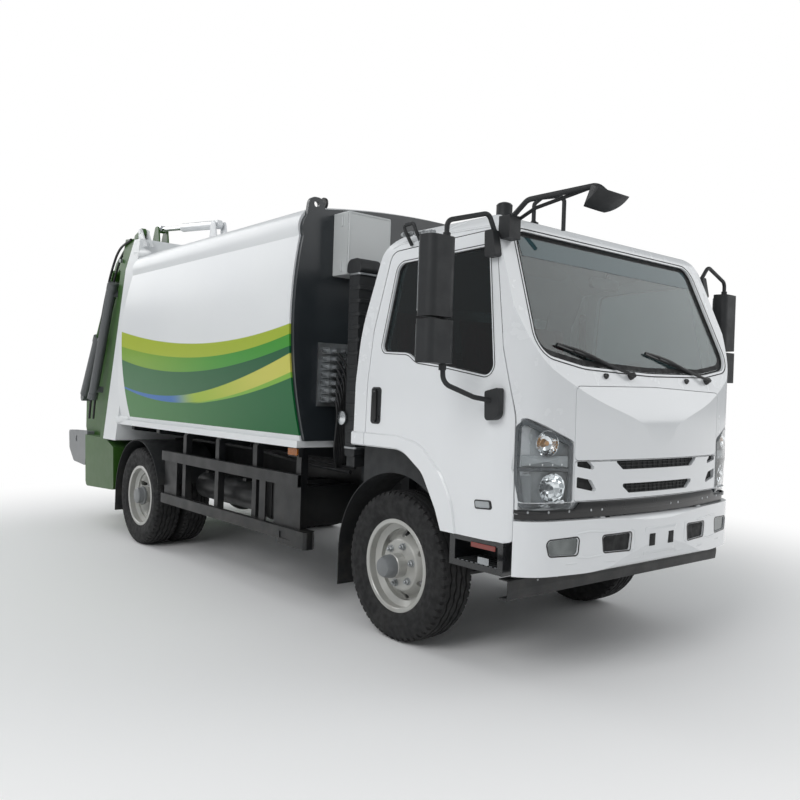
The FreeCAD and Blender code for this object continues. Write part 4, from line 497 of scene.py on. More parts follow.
class Skin:
    """Surface of some CAD nodes, for pieces that lie on it."""
    trees = {}

    def __init__(self, *names):
        if names in self.trees:
            self.tree = self.trees[names]
            return
        verts, faces = [], []
        for name in names:
            mesh = NODES[name].data
            base = len(verts)
            verts += [v.co.copy() for v in mesh.vertices]
            faces += [[base + i for i in f.vertices] for f in mesh.polygons]
        self.tree = self.trees[names] = BVHTree.FromPolygons(verts, faces)

    def hit(self, p, ray, depth=0.0):
        """Point on the surface met along a ray through p, sunk by depth (mm)."""
        plane, start, way = ray
        way = Vector(way)
        found = self.tree.ray_cast(lift_2d(plane, p, start), way, 3.0)
        if found[0] is None:
            return None
        return found[0] + way * (depth / 1000)

    def band(self, kit, points, ray, width, high=2.0, low=3.0, closed=True):
        """Raised strip of constant width that follows an outline on the surface."""
        flat = rounded(points, closed)
        n = len(flat)
        rows = []
        for i, p in enumerate(flat):
            a = flat[i - 1] if (closed or i) else p
            b = flat[(i + 1) % n] if (closed or i < n - 1) else p
            ahead = (b - a).normalized()
            side = Vector((-ahead.y, ahead.x)) * (width / 2)
            section = ((-1, low), (-1, -high * 0.6), (-0.7, -high), (0.7, -high), (1, -high * 0.6), (1, low))
            row = [self.hit(p + side * k, ray, depth) for k, depth in section]
            if None not in row:
                rows.append(row)
        kit.loops(rows, closed=True, caps=not closed, wrap=closed)

    def sheet(self, kit, spans, ray, front, back, rows=3):
        """Thin sheet over (u, low, high) columns, between two rises in mm."""
        made = []
        for u, low, high in spans:
            ring = []
            for rise, order in ((front, range(rows + 1)), (back, range(rows, -1, -1))):
                ring += [self.hit((u, low + (high - low) * k / rows), ray, -rise) for k in order]
            if None not in ring:
                made.append(ring)
        if len(made) > 1:
            kit.loops(made)

    def patch(self, kit, points, ray, profile):
        """Pad over an outline: profile is (way in, rise), both in mm, from the rim in."""
        flat = rounded(points)
        centre = sum(flat, Vector((0, 0))) / len(flat)
        rows = []
        for inward, rise in profile:
            row = []
            for p in flat:
                away = p - centre
                left = max(0.0, 1 - inward / max(away.length, 1.0))
                row.append(self.hit(centre + away * left, ray, -rise))
            if None in row:
                return
            rows.append(row)
        kit.loops(rows, caps=False)
        last = [kit.bm.verts.new(v) for v in rows[-1]]
        top = kit.bm.verts.new(self.hit(centre, ray, -profile[-1][1]))
        for i, v in enumerate(last):
            kit.bm.faces.new((v, last[(i + 1) % len(last)], top))


# Wheels

def tyre(kit, x, y):
    """Road tyre: ribbed sidewalls, zigzag grooves and slotted shoulders."""
    pitches = 56
    wall = [(84, 250), (90, 253), (97, 262), (100, 268), (109, 292), (110.5, 296), (110, 300), (115, 318),
            (117.5, 340), (117, 352), (118, 356), (116, 361), (114, 376), (109, 390), (107, 394)]
    shoulder = [(82, 417, 0), (84, 416.5, 1), (100, 411, 1), (105, 402, 1)]
    groove_depth, slot_depth, tread_half = 11, 9, 82
    rows = []
    for k in range(pitches):
        for part, notch in ((0.0, 0), (0.6, 0), (0.64, 1), (0.96, 1)):
            turn = 2 * math.pi * (k + part) / pitches
            wave = 4.5 * (abs(((k + part) % 2) - 1) * 2 - 1)
            across = [(-u, r) for u, r in wall]
            edge = [(u, r - slot_depth * notch * cut) for u, r, cut in shoulder]
            across += [(-u, r) for u, r in reversed(edge)]
            for groove, way in ((-55, 1), (-18, -1), (18, 1), (55, -1)):
                u = groove + wave * way
                top = AXLE_Z - 3.2 * (groove / tread_half) ** 2
                foot = top - groove_depth
                across += [(u - 6, top), (u - 4, foot), (u + 4, foot), (u + 6, top)]
            across += edge + wall[::-1]
            rows.append([at(x + r * math.sin(turn), y + u, AXLE_Z + r * math.cos(turn)) for u, r in across])
    kit.loops(rows, closed=False, wrap=True)


def wheel_dressing(x, side, front, body, tag):
    """Wheel nuts, hub cap and valve on one disc."""
    rim = Skin("front_rim_" + tag if front else "rear_rims_" + tag)
    end = "_%s_%s" % ("front" if front else "rear", tag)
    bolt_circle = 111
    out = Vector((0, side, 0))
    ray = ("xz", side * 1300, -out)
    nuts, cap = Kit(), Kit()
    for k in range(6):
        turn = math.pi / 3 * k + 0.25
        p = (x + bolt_circle * math.cos(turn), AXLE_Z + bolt_circle * math.sin(turn))
        spot = rim.hit(p, ray)
        if spot:
            nuts.turn(spot, out, [(0, 21), (3, 21), (4, 18)], 20)
            nuts.hexagon(spot + out * 0.003, out, 32, 17)
            nuts.turn(spot + out * 0.02, out, [(0, 10), (10, 9.4), (12, 7)], 14)
    face = rim.hit((x + 60, AXLE_Z), ray)
    centre = Vector((at(x, 0, 0).x, face.y, AXLE_Z / 1000))
    if front:
        profile = [(0, 66), (22, 64), (46, 58), (60, 50), (64, 34), (66, 0)]
        ring, step, height = 0.052, 0.03, 8
    else:
        profile = [(0, 78), (16, 78), (20, 70), (60, 66), (66, 60), (70, 0)]
        ring, step, height = 0.062, 0.016, 7
    cap.turn(centre, out, profile, 36, caps=False)
    for k in range(8):
        turn = math.pi / 4 * k
        spot = centre + out * step + Vector((ring * math.cos(turn), 0, ring * math.sin(turn)))
        cap.hexagon(spot, out, 12, height)
    nuts.done("wheel_nuts" + end, "zinc", body)
    cap.done("hub_cap" + end, "grey", body)
    valve = Kit()
    spot = rim.hit((x + 196, AXLE_Z + 30), ray)
    if spot:
        stem = [(0, 5), (30, 5), (31, 6.5), (44, 6.5), (46, 4)]
        valve.turn(spot - out * 0.01, Vector((-0.5, side, 0)), stem, 12)
        valve.done("valve" + end, "rubber", body)


for tag, side in SIDES:
    kit = Kit()
    tyre(kit, 0, side * FRONT_TYRE_Y)
    kit.done("tyre_front_" + tag, "tyre", "front_wheel_" + tag, sharp=40, stands_for=["front_tyre_" + tag])
    for wheel_y in REAR_TYRES_Y:
        tyre(kit, -WHEELBASE, side * wheel_y)
    kit.done("tyres_rear_" + tag, "tyre", "rear_wheels_" + tag, sharp=40, stands_for=["rear_tyres_" + tag])
    wheel_dressing(0, side, True, "front_wheel_" + tag, tag)
    wheel_dressing(-WHEELBASE, side, False, "rear_wheels_" + tag, tag)


# Cab

SCREEN = [(-880, 1600, 110), (-806, 2222, 90), (806, 2222, 90), (880, 1600, 110), (560, 1548, 600),
          (0, 1534, 2000), (-560, 1548, 600)]
WINDOW = [(-74, 1618, 40), (0, 2108, 60), (688, 2126, 40), (806, 1478, 50), (470, 1532, 300),
          (236, 1560, 120), (160, 1606, 120)]


def shrink(points, d):
    """Outline moved in by d millimetres, for outlines that run either way round."""
    flat = rounded(points)
    n = len(flat)
    area_sum = sum(flat[i].x * flat[(i + 1) % n].y - flat[(i + 1) % n].x * flat[i].y for i in range(n))
    sign = 1 if area_sum > 0 else -1
    out = []
    for i, p in enumerate(flat):
        ahead = (flat[(i + 1) % n] - flat[i - 1]).normalized()
        out.append(p + Vector((-ahead.y, ahead.x)) * d * sign)
    return out


def screen():
    """Seal, dark border and sensor of the windscreen."""
    shell = Skin("cab_shell", "cab_glass")
    glass = Skin("cab_glass")
    kit = Kit()
    shell.band(kit, shrink(SCREEN, -5), FRONT, 22, 3.0, 4.0)
    kit.done("screen_seal", "rubber", "cab")
    glass.band(kit, shrink(SCREEN, 22), FRONT, 26, 0.6, -0.2)
    kit.done("screen_border", "rubber", "cab")
    glass.patch(kit, oblong(-62, 62, 2124, 2176, 12), FRONT, [(0, -7), (0, -30), (4, -34)])
    kit.done("screen_sensor", "plastic", "cab")


class LampSkin(Skin):
    """Lamp surface carried on past its solid, down to the black strip."""

    def reach(self, y, z, depth):
        """Nearest point of the solid met on the way to the lamp's middle."""
        middle = math.copysign(800.0, y)
        for k in range(30):
            t = k / 30
            q = super().hit((y + (middle - y) * t, z + (1050 - z) * t), FRONT, depth)
            if q is not None:
                return Vector((q.x, y / 1000, z / 1000))
        return None

    def hit(self, p, ray, depth=0.0):
        """Straight on below the foot of the solid, and a little back past its width."""
        foot, span, wide = 904, 50, 932.0
        if p[1] > foot - 1:
            return self.reach(p[0], p[1], depth)
        y = max(-wide, min(wide, p[0]))
        low, high = self.reach(y, foot, depth), self.reach(y, foot + span, depth)
        if low is None or high is None:
            return None
        spot = low + (high - low) * ((p[1] - foot) / span)
        return Vector((spot.x - abs(p[0] - y) * 0.002, p[0] / 1000, p[1] / 1000))


def lamp_outline(s):
    """Edge of the headlamp on one side."""
    edge = ((667, 863, 14), (667, 1177, 30), (947, 1300, 40), (958, 1050, 60), (930, 863, 24))
    return [(s * y, z, radius) for y, z, radius in edge]


def lamp(s, tag):
    """Headlamp: backing, bezel, bowls, bulb, and band of marker dots."""
    cover = LampSkin("headlamps")
    outline = lamp_outline(s)
    kit = Kit()
    cover.patch(kit, outline, FRONT, [(3, -30), (5, -44), (14, -46), (60, -46)])
    kit.done("lamp_back_" + tag, "lampgrey", "cab")
    cover.band(kit, shrink(outline, 13), FRONT, 20, -3.0, 20.0)
    bar = [(s * 672, 1036, 2), (s * 672, 1054, 2), (s * 948, 1060, 2), (s * 950, 1040, 2)]
    cover.patch(kit, bar, FRONT, [(0, -30), (0.5, -5), (3, -4)])
    kit.done("lamp_bezel_" + tag, "lampdark", "cab")
    cover.patch(kit, [(s * 690, 1058, 3), (s * 690, 1112, 3), (s * 934, 1118, 3), (s * 936, 1062, 3)],
                FRONT, [(0, -32), (1, -10), (5, -9)])
    cover.patch(kit, [(s * 880, 884, 6), (s * 884, 1028, 6), (s * 934, 1030, 6), (s * 914, 884, 6)],
                FRONT, [(0, -36), (1, -14), (6, -10), (12, -9)])
    for k in range(7):
        y = s * (886 + k * 6)
        cover.band(kit, [(y, 890), (y + s * 3, 1022)], FRONT, 2.4, -7.0, 12.0, closed=False)
    kit.done("lamp_band_" + tag, "lampgrey", "cab")
    for k in range(4):
        spot = cover.hit((s * (728 + k * 54), 1072), FRONT, 8.0)
        if spot:
            kit.turn(spot, (1, 0, 0), [(0, 5), (1.5, 5), (2.4, 3)], 14)
    kit.done("lamp_dots_" + tag, "glow", "cab")
    aim = Vector((1, s * 0.28, 0))
    base = cover.hit((s * 768, 960), FRONT, 46.0)
    kit.turn(base, aim, [(0, 11), (4, 30), (14, 50), (26, 64), (33, 70), (34, 73), (26, 73)], 14, caps=False)
    for k in range(5):
        rib = [(s * (694 + k * 2), 878 + k * 6), (s * (760 + k * 20), 866 + k * 3)]
        cover.band(kit, rib, FRONT, 5, -18.0, 26.0, closed=False)
    top = cover.hit((s * 800, 1172), FRONT, 44.0)
    kit.turn(top, aim, [(0, 10), (6, 34), (18, 52), (30, 60), (31, 62), (22, 62)], 28, caps=False)
    kit.done("lamp_bowls_" + tag, "reflector", "cab", sharp=4)
    kit.turn(base, aim, [(0, 12), (14, 12), (16, 10), (30, 9), (34, 6), (35, 0)], 20, caps=False)
    kit.done("lamp_shade_" + tag, "lampdark", "cab")
    kit.turn(top, aim, [(0, 8), (8, 8), (12, 12), (22, 12), (28, 8), (30, 0)], 20, caps=False)
    kit.done("lamp_bulb_" + tag, "bulb", "cab")


def lamp_covers():
    """Clear covers of both headlamps, from the lamp's edge inward."""
    kit = Kit()
    cover = LampSkin("headlamps")
    for s in (-1, 1):
        cover.patch(kit, lamp_outline(s), FRONT, [(0, -2.2), (0, 0.4), (3, 1.2), (30, 1.4), (100, 1.4)])
    kit.done("lamp_covers", "lens", "cab", stands_for=["headlamps"])


def grille_dressing():
    """Dark backing and mesh behind the grille's slots."""
    back = Skin("cab_shell")
    slots = []
    for s in (-1, 1):
        slots.append([(s * 480, 1030, 6), (s * 566, 1112, 6), (s * 648, 1112, 6), (s * 648, 1050, 6)])
        slots.append([(s * 480, 922, 6), (s * 534, 1006, 6), (s * 648, 1024, 6), (s * 648, 948, 6)])
    kit = Kit()
    for slot in slots:
        back.patch(kit, slot, FRONT, [(0, -0.5), (0.5, 0.5), (4, 0.7), (40, 0.7)])
    for low, high, narrow, wide in ((1026, 1107, 330, 412), (906, 985, 280, 362)):
        spans = []
        for k in range(41):
            y = -wide + 2 * wide * k / 40
            foot = low + (high - low) * max(0.0, (abs(y) - narrow) / (wide - narrow)) * 0.96
            spans.append((y, foot, high))
        back.sheet(kit, spans, FRONT, 1.0, -1.5)
    kit.done("grille_backing", "rubber", "cab")
    for low, high, half in ((1042, 1091, 322), (922, 969, 272)):
        for k in range(15):
            y = -half + 2 * half * k / 14
            a = back.hit((y, low), FRONT, -3.0)
            b = back.hit((y, high), FRONT, -3.0)
            if a and b:
                kit.turn(a, b - a, [(0, 3.0), ((b - a).length * 1000, 3.0)], 6)
        for z in (low + 16, low + 33):
            points = [back.hit((-half + 2 * half * i / 12, z), FRONT, -4.5) for i in range(13)]
            for a, b in zip(points, points[1:]):
                if a and b:
                    kit.turn(a, b - a, [(0, 2.0), ((b - a).length * 1000, 2.0)], 6)
    kit.done("grille_mesh", "plastic", "cab")


def side_ray(side):
    """Ray that meets one side of the cab from outside."""
    return ("xz", side * 1400, (0, -side, 0))


def door_dressing(side, tag):
    """Handle on its plate, window seal, lock and side repeater of one door."""
    ray = side_ray(side)
    door = Skin("door_" + tag, "door_glass_" + tag)
    kit = Kit()
    door.band(kit, shrink(WINDOW, -3), ray, 18, 2.5, 6.0)
    kit.done("window_seal_" + tag, "rubber", "door_" + tag)
    handle = [(-132, 1212, 22), (-128, 1418, 22), (-40, 1418, 22), (-44, 1212, 22)]
    door.patch(kit, handle, ray, [(0, -1), (0, 2.5), (3, 3.4), (10, 3.2), (13, 1.0), (16, 0.6)])
    kit.done("handle_plate_" + tag, "plastic", "door_" + tag)
    grip = [(-88, side * y, z) for y, z in ((1000, 1232), (1012, 1236), (1012, 1394), (1000, 1398))]
    kit.pipe(grip, 13, 8, 12, 0.6)
    kit.turn(at(-66, side * 1001, 1250), (0, side, 0), [(0, 9), (4, 9), (5, 7)], 18)
    kit.done("handle_" + tag, "gloss", "door_" + tag)
    frame_edge = [(716, 842, 12), (708, 886, 12), (812, 892, 12), (822, 848, 12)]
    door.patch(kit, frame_edge, ray, [(0, -1), (0, 3), (4, 5.5), (5, 4.6), (9, 4.2)])
    kit.done("repeater_frame_" + tag, "gloss", "door_" + tag)
    lens = [(724, 849, 8), (717, 880, 8), (804, 885, 8), (812, 855, 8)]
    door.patch(kit, lens, ray, [(0, 2), (0, 6), (4, 8), (20, 9)])
    kit.done("repeater_lens_" + tag, "lampgrey", "door_" + tag)


def door_gap_shadows():
    """Dark strips sunk in the gaps round the doors, a painted shadow of the gaps."""
    skin = Skin("cab_shell", "door_left", "door_right")
    # These strips are painted shade: a dark fill that stands in for the shadow in the door gaps.
    seam = [(150, 1079.5, 220), (-180, 1079.5), (-162.5, 1741, 300), (-68.5, 2180.5, 70), (723.5, 2208.5, 40),
            (832.5, 1700, 600), (910.5, 1300, 400), (914.5, 703, 20)]
    flat = rounded(seam, False, 8)
    for tag, side in SIDES:
        ray = side_ray(side)
        rows = []
        for i, p in enumerate(flat):
            a, b = flat[max(i - 1, 0)], flat[min(i + 1, len(flat) - 1)]
            ahead = (b - a).normalized()
            across = Vector((-ahead.y, ahead.x))
            near = [skin.hit(p + across * d, ray) for d in (-7.0, 7.0)]
            if None in near or abs(near[0].y - near[1].y) > 0.03:
                continue
            middle = (near[0].y + near[1].y) / 2
            rows.append([lift_2d("xz", p + across * d, middle * 1000 - side * depth)
                         for d, depth in ((-2.2, 3), (2.2, 3), (2.2, 9), (-2.2, 9))])
        kit = Kit()
        kit.loops(rows)
        kit.done("door_gap_shadow_" + tag, "rubber", "cab")


def drip_rails():
    """Drip rail over each door."""
    shell = Skin("cab_shell", "door_left", "door_right")
    kit = Kit()
    rail = [(-70, 2205), (0, 2226), (300, 2238), (700, 2226), (748, 2196)]
    for side in (-1, 1):
        shell.band(kit, rail, side_ray(side), 12, 5.0, 3.0, closed=False)
    kit.done("drip_rails", "white", "cab")


screen()
for tag, side in SIDES:
    lamp(side, tag)
    door_dressing(side, tag)
lamp_covers()
grille_dressing()
door_gap_shadows()
drip_rails()


def mirror_dressing(s, tag):
    """Mirror glass in its two housings, with clamps on the pole."""
    middle_y, glass_x = s * 1300, 673.8
    kit = Kit()
    for low, high, half in ((1760, 2094, 78), (1546, 1712, 80)):
        kit.prism(oblong(middle_y - half, middle_y + half, low, high, 14), "yz", glass_x - 2.5, glass_x + 1.0)
    kit.done("mirror_glass_" + tag, "mirror", "door_" + tag, bevel=0.8)
    for z in (1512, 1736, 2120):
        kit.turn(at(730, s * 1260, z), (0, 0, 1), [(-13, 16), (-12, 18), (12, 18), (13, 16)], 20)
    kit.done("mirror_clamps_" + tag, "plastic", "door_" + tag)


for tag, side in SIDES:
    mirror_dressing(side, tag)


# Inside of the cab

def lining():
    """Grey lining of the cab: headliner, door cards, rear wall and floor mat."""
    shell = Skin("cab_shell")
    kit = Kit()
    roof = [(-190, -850, 80), (-190, 850, 80), (640, 820, 120), (640, -820, 120)]
    shell.patch(kit, roof, ("xy", 1900, (0, 0, 1)), [(0, -1), (4, 10), (60, 14), (300, 14)])
    wall = [(-860, 1150, 60), (-860, 1600, 60), (-560, 1612, 20), (560, 1612, 20), (860, 1600, 60),
            (860, 1150, 60)]
    shell.patch(kit, wall, FROM_CAB, [(0, -1), (4, 8), (60, 9)])
    for s in (-1, 1):
        side_wall = [(s * 530, 1640, 20), (s * 530, 2100, 20), (s * 760, 2090, 40), (s * 850, 1640, 30)]
        shell.patch(kit, side_wall, FROM_CAB, [(0, -1), (4, 8), (40, 9)])
    kit.done("cab_lining", "lining", "cab")
    shell.patch(kit, oblong(-150, 800, -820, 820, 60), ("xy", 1150, (0, 0, -1)), [(0, -1), (2, 6), (30, 7)])
    kit.done("floor_mat", "rubber", "cab")
    for tag, s in SIDES:
        door = Skin("door_" + tag)
        ray = ("xz", s * 700, (0, s, 0))
        card = [(-120, 1000, 60), (-130, 1560, 60), (150, 1570, 80), (480, 1480, 200), (780, 1430, 60),
                (840, 1000, 60), (700, 780, 60), (520, 790, 40), (380, 1010, 200), (60, 1090, 200)]
        door.patch(kit, card, ray, [(0, -1), (4, 12), (50, 15), (120, 15)])
        rest = [(-20, 1290, 20), (-10, 1340, 20), (420, 1330, 20), (430, 1280, 20)]
        door.patch(kit, rest, ray, [(0, 10), (3, 48), (16, 56), (30, 56)])
        kit.done("door_card_" + tag, "lining", "door_" + tag)


def cab_inside():
    """Screens, dials, vents and belts."""
    kit = Kit()
    kit.prism([(330, 1512, 16), (330, 1440, 12), (530, 1440, 12), (530, 1512, 16)], "yz", 648, 656)
    for y0, y1, z0, z1 in ((-60, 120, 1370, 1410), (-60, 120, 1310, 1350), (-640, -520, 1370, 1420),
                           (640, 720, 1370, 1420)):
        kit.prism(oblong(y0, y1, z0, z1, 8), "yz", 662, 676)
    kit.done("dash_screens", "gloss", "cab", bevel=1.5)
    for y in (370, 490):
        kit.turn(at(646, y, 1476), (-1, 0, 0.1), [(0, 30), (4, 31), (6, 29), (7, 0)], 28, caps=False)
    for y0, y1, z in ((-640, -520, 1395), (640, 720, 1395)):
        for k in range(4):
            kit.box(655, 662, y0 + 8, y1 - 8, z - 18 + k * 10, z - 14 + k * 10)
    kit.done("dash_dials", "lampgrey", "cab")
    for tag, s in SIDES:
        kit.pipe([(-120, s * 868, 1960), (-112, s * 872, 1700), (-100, s * 866, 1150)], 24, 60, 10, 0.12)
        kit.turn(at(-112, s * 862, 1965), (0, -s, 0), [(0, 26), (10, 26), (14, 18)], 20)
        kit.done("belt_" + tag, "webbing", "cab")


def pad(name, outline, low, high, channels):
    """Cushion swollen by cloth pressure from a narrower block, with stitched channels pressed in."""
    swell_room, largest_push, frames = 12, 0.014, 20
    channel_depth, channel_width = 0.007, 0.006
    kit = Kit()
    kit.prism(outline, "xz", low + swell_room, high - swell_room)
    obj = kit.done(name, "cloth", "cab")
    grain = obj.modifiers.new("grain", "REMESH")
    grain.mode = "VOXEL"
    grain.voxel_size = 0.009
    mesh = bpy.data.meshes.new_from_object(obj.evaluated_get(bpy.context.evaluated_depsgraph_get()))
    obj.modifiers.clear()
    obj.data = mesh
    start = [v.co.copy() for v in mesh.vertices]
    swell = obj.modifiers.new("cloth", "CLOTH")
    swell.settings.quality = 4
    swell.settings.use_pressure = True
    swell.settings.uniform_pressure_force = 4.0
    swell.settings.effector_weights.gravity = 0.0
    swell.point_cache.frame_start = 1
    swell.point_cache.frame_end = frames
    for step in range(1, frames + 1):
        bpy.context.scene.frame_set(step)
    shape = obj.evaluated_get(bpy.context.evaluated_depsgraph_get()).to_mesh()
    moved = [v.co.copy() for v in shape.vertices]
    obj.modifiers.clear()
    bpy.context.scene.frame_set(1)
    for v, a, b in zip(mesh.vertices, start, moved):
        push = b - a
        if push.length > largest_push:
            push = push.normalized() * largest_push
        spot = a + push
        deep = 0.0
        for y in channels:
            gap = abs(spot.y - y / 1000)
            deep = max(deep, math.exp(-(gap / channel_width) ** 2))
        v.co = spot - v.normal * (channel_depth * deep)
    for f in mesh.polygons:
        f.use_smooth = True
    mesh.materials.clear()
    mesh.materials.append(MATERIAL["cloth"])
    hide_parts("seats")


def seat_set():
    """Three seats: a moulded base, a cushion and a back each."""
    for k, (low, high) in enumerate(((190, 670), (-330, 150), (-850, -370)), 1):
        kit = Kit()
        kit.box(-56, 326, low + 54, high - 54, 946, 1196)
        kit.done("seat_base_%d" % k, "trim", "cab", bevel=8, stands_for=["seats"])
        channels = (low + 120, high - 120)
        cushion = [(-76, 1212, 20), (-76, 1308, 50), (368, 1323, 60), (386, 1212, 30)]
        rest = [(-84, 1345, 20), (-160, 1866, 40), (-124, 1876, 40), (-22, 1345, 30)]
        pad("seat_cushion_%d" % k, cushion, low, high, channels)
        pad("seat_back_%d" % k, rest, low, high, channels)


# Front of the truck

def strip_and_bolts():
    """Black stepped strip between the lamps, the grille and the bumper, with its bolts."""
    face = Skin("front_strip", "cab_shell")
    kit = Kit()
    rows = []
    steps, half = 60, 975
    low_edge, raised_half, slope = 858, 640, 22
    for k in range(steps + 1):
        y = -half + 2 * half * k / steps
        high = low_edge + 30 * max(0.0, min(1.0, (raised_half - abs(y)) / slope))
        low_q = face.hit((y, 845), FRONT)
        if low_q is None:
            continue
        section = ((-14, 812), (-9, 812), (-9, 838), (1.5, 840), (3, 842), (3, high - 3), (1.5, high),
                   (-6, high), (-6, 844), (-14, 842))
        rows.append([Vector((low_q.x + (d + 0.5) / 1000, low_q.y, z / 1000)) for d, z in section])
    kit.loops(rows)
    kit.done("front_strip_stepped", "gloss", "cab", stands_for=["front_strip"])
    for y in (-955, -900, -806, -684, -544, -470, 100, 176, 470, 544, 684, 806, 900, 955):
        spot = face.hit((y, 848), FRONT, -3.0)
        if spot:
            kit.turn(spot, (1, 0, 0), [(-1, 6.5), (1.5, 6.5), (3, 4.5), (3.4, 0)], 12, caps=False)
    kit.done("strip_bolts", "zinc", "cab")


def inset(kit, skin, y0, y1, low, high, depth):
    """Plate set back in an opening, carried on from the skin below and above."""
    rows = []
    for k in range(9):
        y = y0 + (y1 - y0) * k / 8
        foot, head = skin.hit((y, low - 10), FRONT), skin.hit((y, high + 10), FRONT)
        if foot is None or head is None:
            continue
        behind = depth + 2.5
        section = ((foot, low, depth), (head, high, depth), (head, high, behind), (foot, low, behind))
        rows.append([Vector((v.x - d / 1000, v.y, z / 1000)) for v, z, d in section])
    kit.loops(rows)


def bumper_dressing():
    """Plate pad, crease lines, lamp frames and dark liners of the bumper."""
    face = Skin("front_bumper")
    kit = Kit()
    plate_pad = [(-148, 597, 4), (-150, 738, 4), (150, 738, 4), (148, 597, 4)]
    face.patch(kit, plate_pad, FRONT, [(0, -1), (0, 2.0), (2, 2.6), (40, 2.6)])
    for s in (-1, 1):
        high = [(s * 640, 742), (s * 560, 748), (s * 480, 742), (s * 380, 738)]
        low = [(s * 640, 628), (s * 560, 622), (s * 480, 626)]
        end = [(s * 262, 742), (s * 240, 736), (s * 232, 690), (s * 236, 640), (s * 262, 626)]
        for line in (high, low, end):
            face.band(kit, line, FRONT, 9, 2.2, 1.5, closed=False)
        edge = [(s * 930, 612), (s * 700, 600), (s * 400, 590), (s * 160, 586)]
        face.band(kit, edge, FRONT, 8, 2.0, 1.5, closed=False)
    kit.done("bumper_lines", "white", "chassis")
    pocket = Kit()
    for s in (-1, 1):
        for z in (618, 729):
            spot = face.hit((s * 80, z), FRONT)
            if spot:
                spot = Vector((face.hit((s * 100, z), FRONT).x, spot.y, spot.z))
                kit.turn(spot, (1, 0, 0), [(0, 7.5), (3.2, 7.5), (3.2, 0)], 18, caps=False)
        face.patch(kit, oblong(s * 62, s * 112, 640, 704, 3), FRONT, [(0, 1), (0, 3.0), (20, 3.1)])
        ring = [(s * 636, 636, 20), (s * 628, 726, 20), (s * 830, 718, 24), (s * 810, 640, 20)]
        face.band(pocket, ring, FRONT, 7, 1.5, 3.0)
        mouth = [(s * 270, 632, 12), (s * 258, 726, 16), (s * 478, 722, 16), (s * 466, 636, 16)]
        face.band(pocket, mouth, FRONT, 7, 1.5, 3.0)
    kit.done("plate_holes", "rubber", "chassis")
    pocket.done("bumper_frames", "gloss", "chassis")
    liners, lenses = Kit(), Kit()
    for s in (-1, 1):
        inset(liners, face, s * 256, s * 482, 628, 730, 9.0)
        inset(lenses, face, s * 628, s * 830, 636, 726, 7.0)
    liners.done("bumper_liners", "rubber", "chassis")
    lenses.done("fog_lenses", "foglens", "chassis")


def guard_rivets():
    """Row of rivets along the underrun guard."""
    face = Skin("underrun_guard")
    kit = Kit()
    for y in (-742, -596, -420, -240, -55, 87, 240, 420, 596, 742):
        spot = face.hit((y, 504), FRONT)
        if spot:
            kit.turn(spot, (1, 0, 0.3), [(-1, 7), (1.5, 7), (3, 5), (3.8, 0)], 12, caps=False)
    kit.done("guard_rivets", "zinc", "chassis")


def wiper_pair():
    """Wipers with tapered arms and framed blades, and the washer nozzles."""
    glass = Skin("cab_glass", "cab_shell", "front_panel")
    kit = Kit()
    for y in (-190, 560):
        root = glass.hit((y, 1512), FRONT)
        if root is None:
            continue
        boss = [(0, 20), (16, 20), (24, 16), (34, 14), (38, 8), (39, 0)]
        kit.turn(root + Vector((-0.004, 0, 0)), (1, 0, 0.35), boss, 20, caps=False)
        route = []
        arm = ((0, 1516, 34), (-150, 1560, 30), (-330, 1618, 24), (-440, 1640, 16), (-520, 1650, 10))
        for dy, z, rise in arm:
            q = glass.hit((y + dy, z), FRONT)
            route.append((q.x * 1000 - ROW_X + rise, y + dy, z))
        kit.pipe(route, 9, 60, 8, 0.55)
        blade = []
        for k in range(9):
            t = k / 8
            yy, zz = y - 60 - 460 * t, 1548 + 96 * t
            q = glass.hit((yy, zz), FRONT)
            blade.append((q.x * 1000 - ROW_X + 8, yy, zz))
        kit.pipe(blade, 7, 60, 6, 0.8)
        kit.pipe([tuple(a + b for a, b in zip(p, (8, 0, 4))) for p in blade[2:7]], 4, 40, 6)
        nozzle = glass.hit((y - 215, 1504), FRONT, 3.0)
        kit.turn(nozzle, (1, 0, 0.5), [(0, 15), (10, 15), (20, 9), (24, 0)], 14, caps=False)
    kit.done("wiper_set", "gloss", "cab", stands_for=["wipers"])


def screen_details():
    """Shade band at the screen's top edge and the mirror inside."""
    glass = Skin("cab_glass")
    kit = Kit()
    glass.sheet(kit, [(-770 + 1540 * k / 40, 2092, 2196) for k in range(41)], FRONT, 0.9, 0.2, 5)
    kit.done("shade_band", "shade", "cab")
    kit.pipe([(690, 40, 2190), (700, 30, 2120), (696, 0, 2070)], 7, 20, 10)
    kit.prism(oblong(-130, 130, 2010, 2070, 30), "yz", 676, 700)
    kit.done("inside_mirror", "plastic", "cab", bevel=4)


# Roof, sides and tail

def roof_pieces():
    """Plates under the roof hoop, domed cap of the marker lamp and fittings along the edge."""
    roof = Skin("cab_shell")
    kit = Kit()
    for x, y in ((640, -560), (800, -512)):
        spot = roof.hit((x, y), ("xy", 2700, (0, 0, -1)))
        if spot:
            kit.turn(spot, (0, 0, 1), [(-2, 26), (3, 26), (6, 16), (12, 13)], 20)
    kit.done("hoop_plates", "gloss", "cab")
    kit.turn(at(560, -700, 2381), (0, 0, 1), [(0, 43), (4, 42), (12, 34), (18, 18), (20, 0)], 28, caps=False)
    kit.done("marker_cap", "gloss", "cab")
    sleeve = [(0, 9), (10, 9), (12, 14), (26, 14), (28, 9), (50, 9)]
    for k in range(5):
        kit.turn(at(30 + k * 55, -948, 2262 - k * 4), (1, 0, 0), sleeve, 14)
    kit.done("roof_edge_fittings", "zinc", "cab")


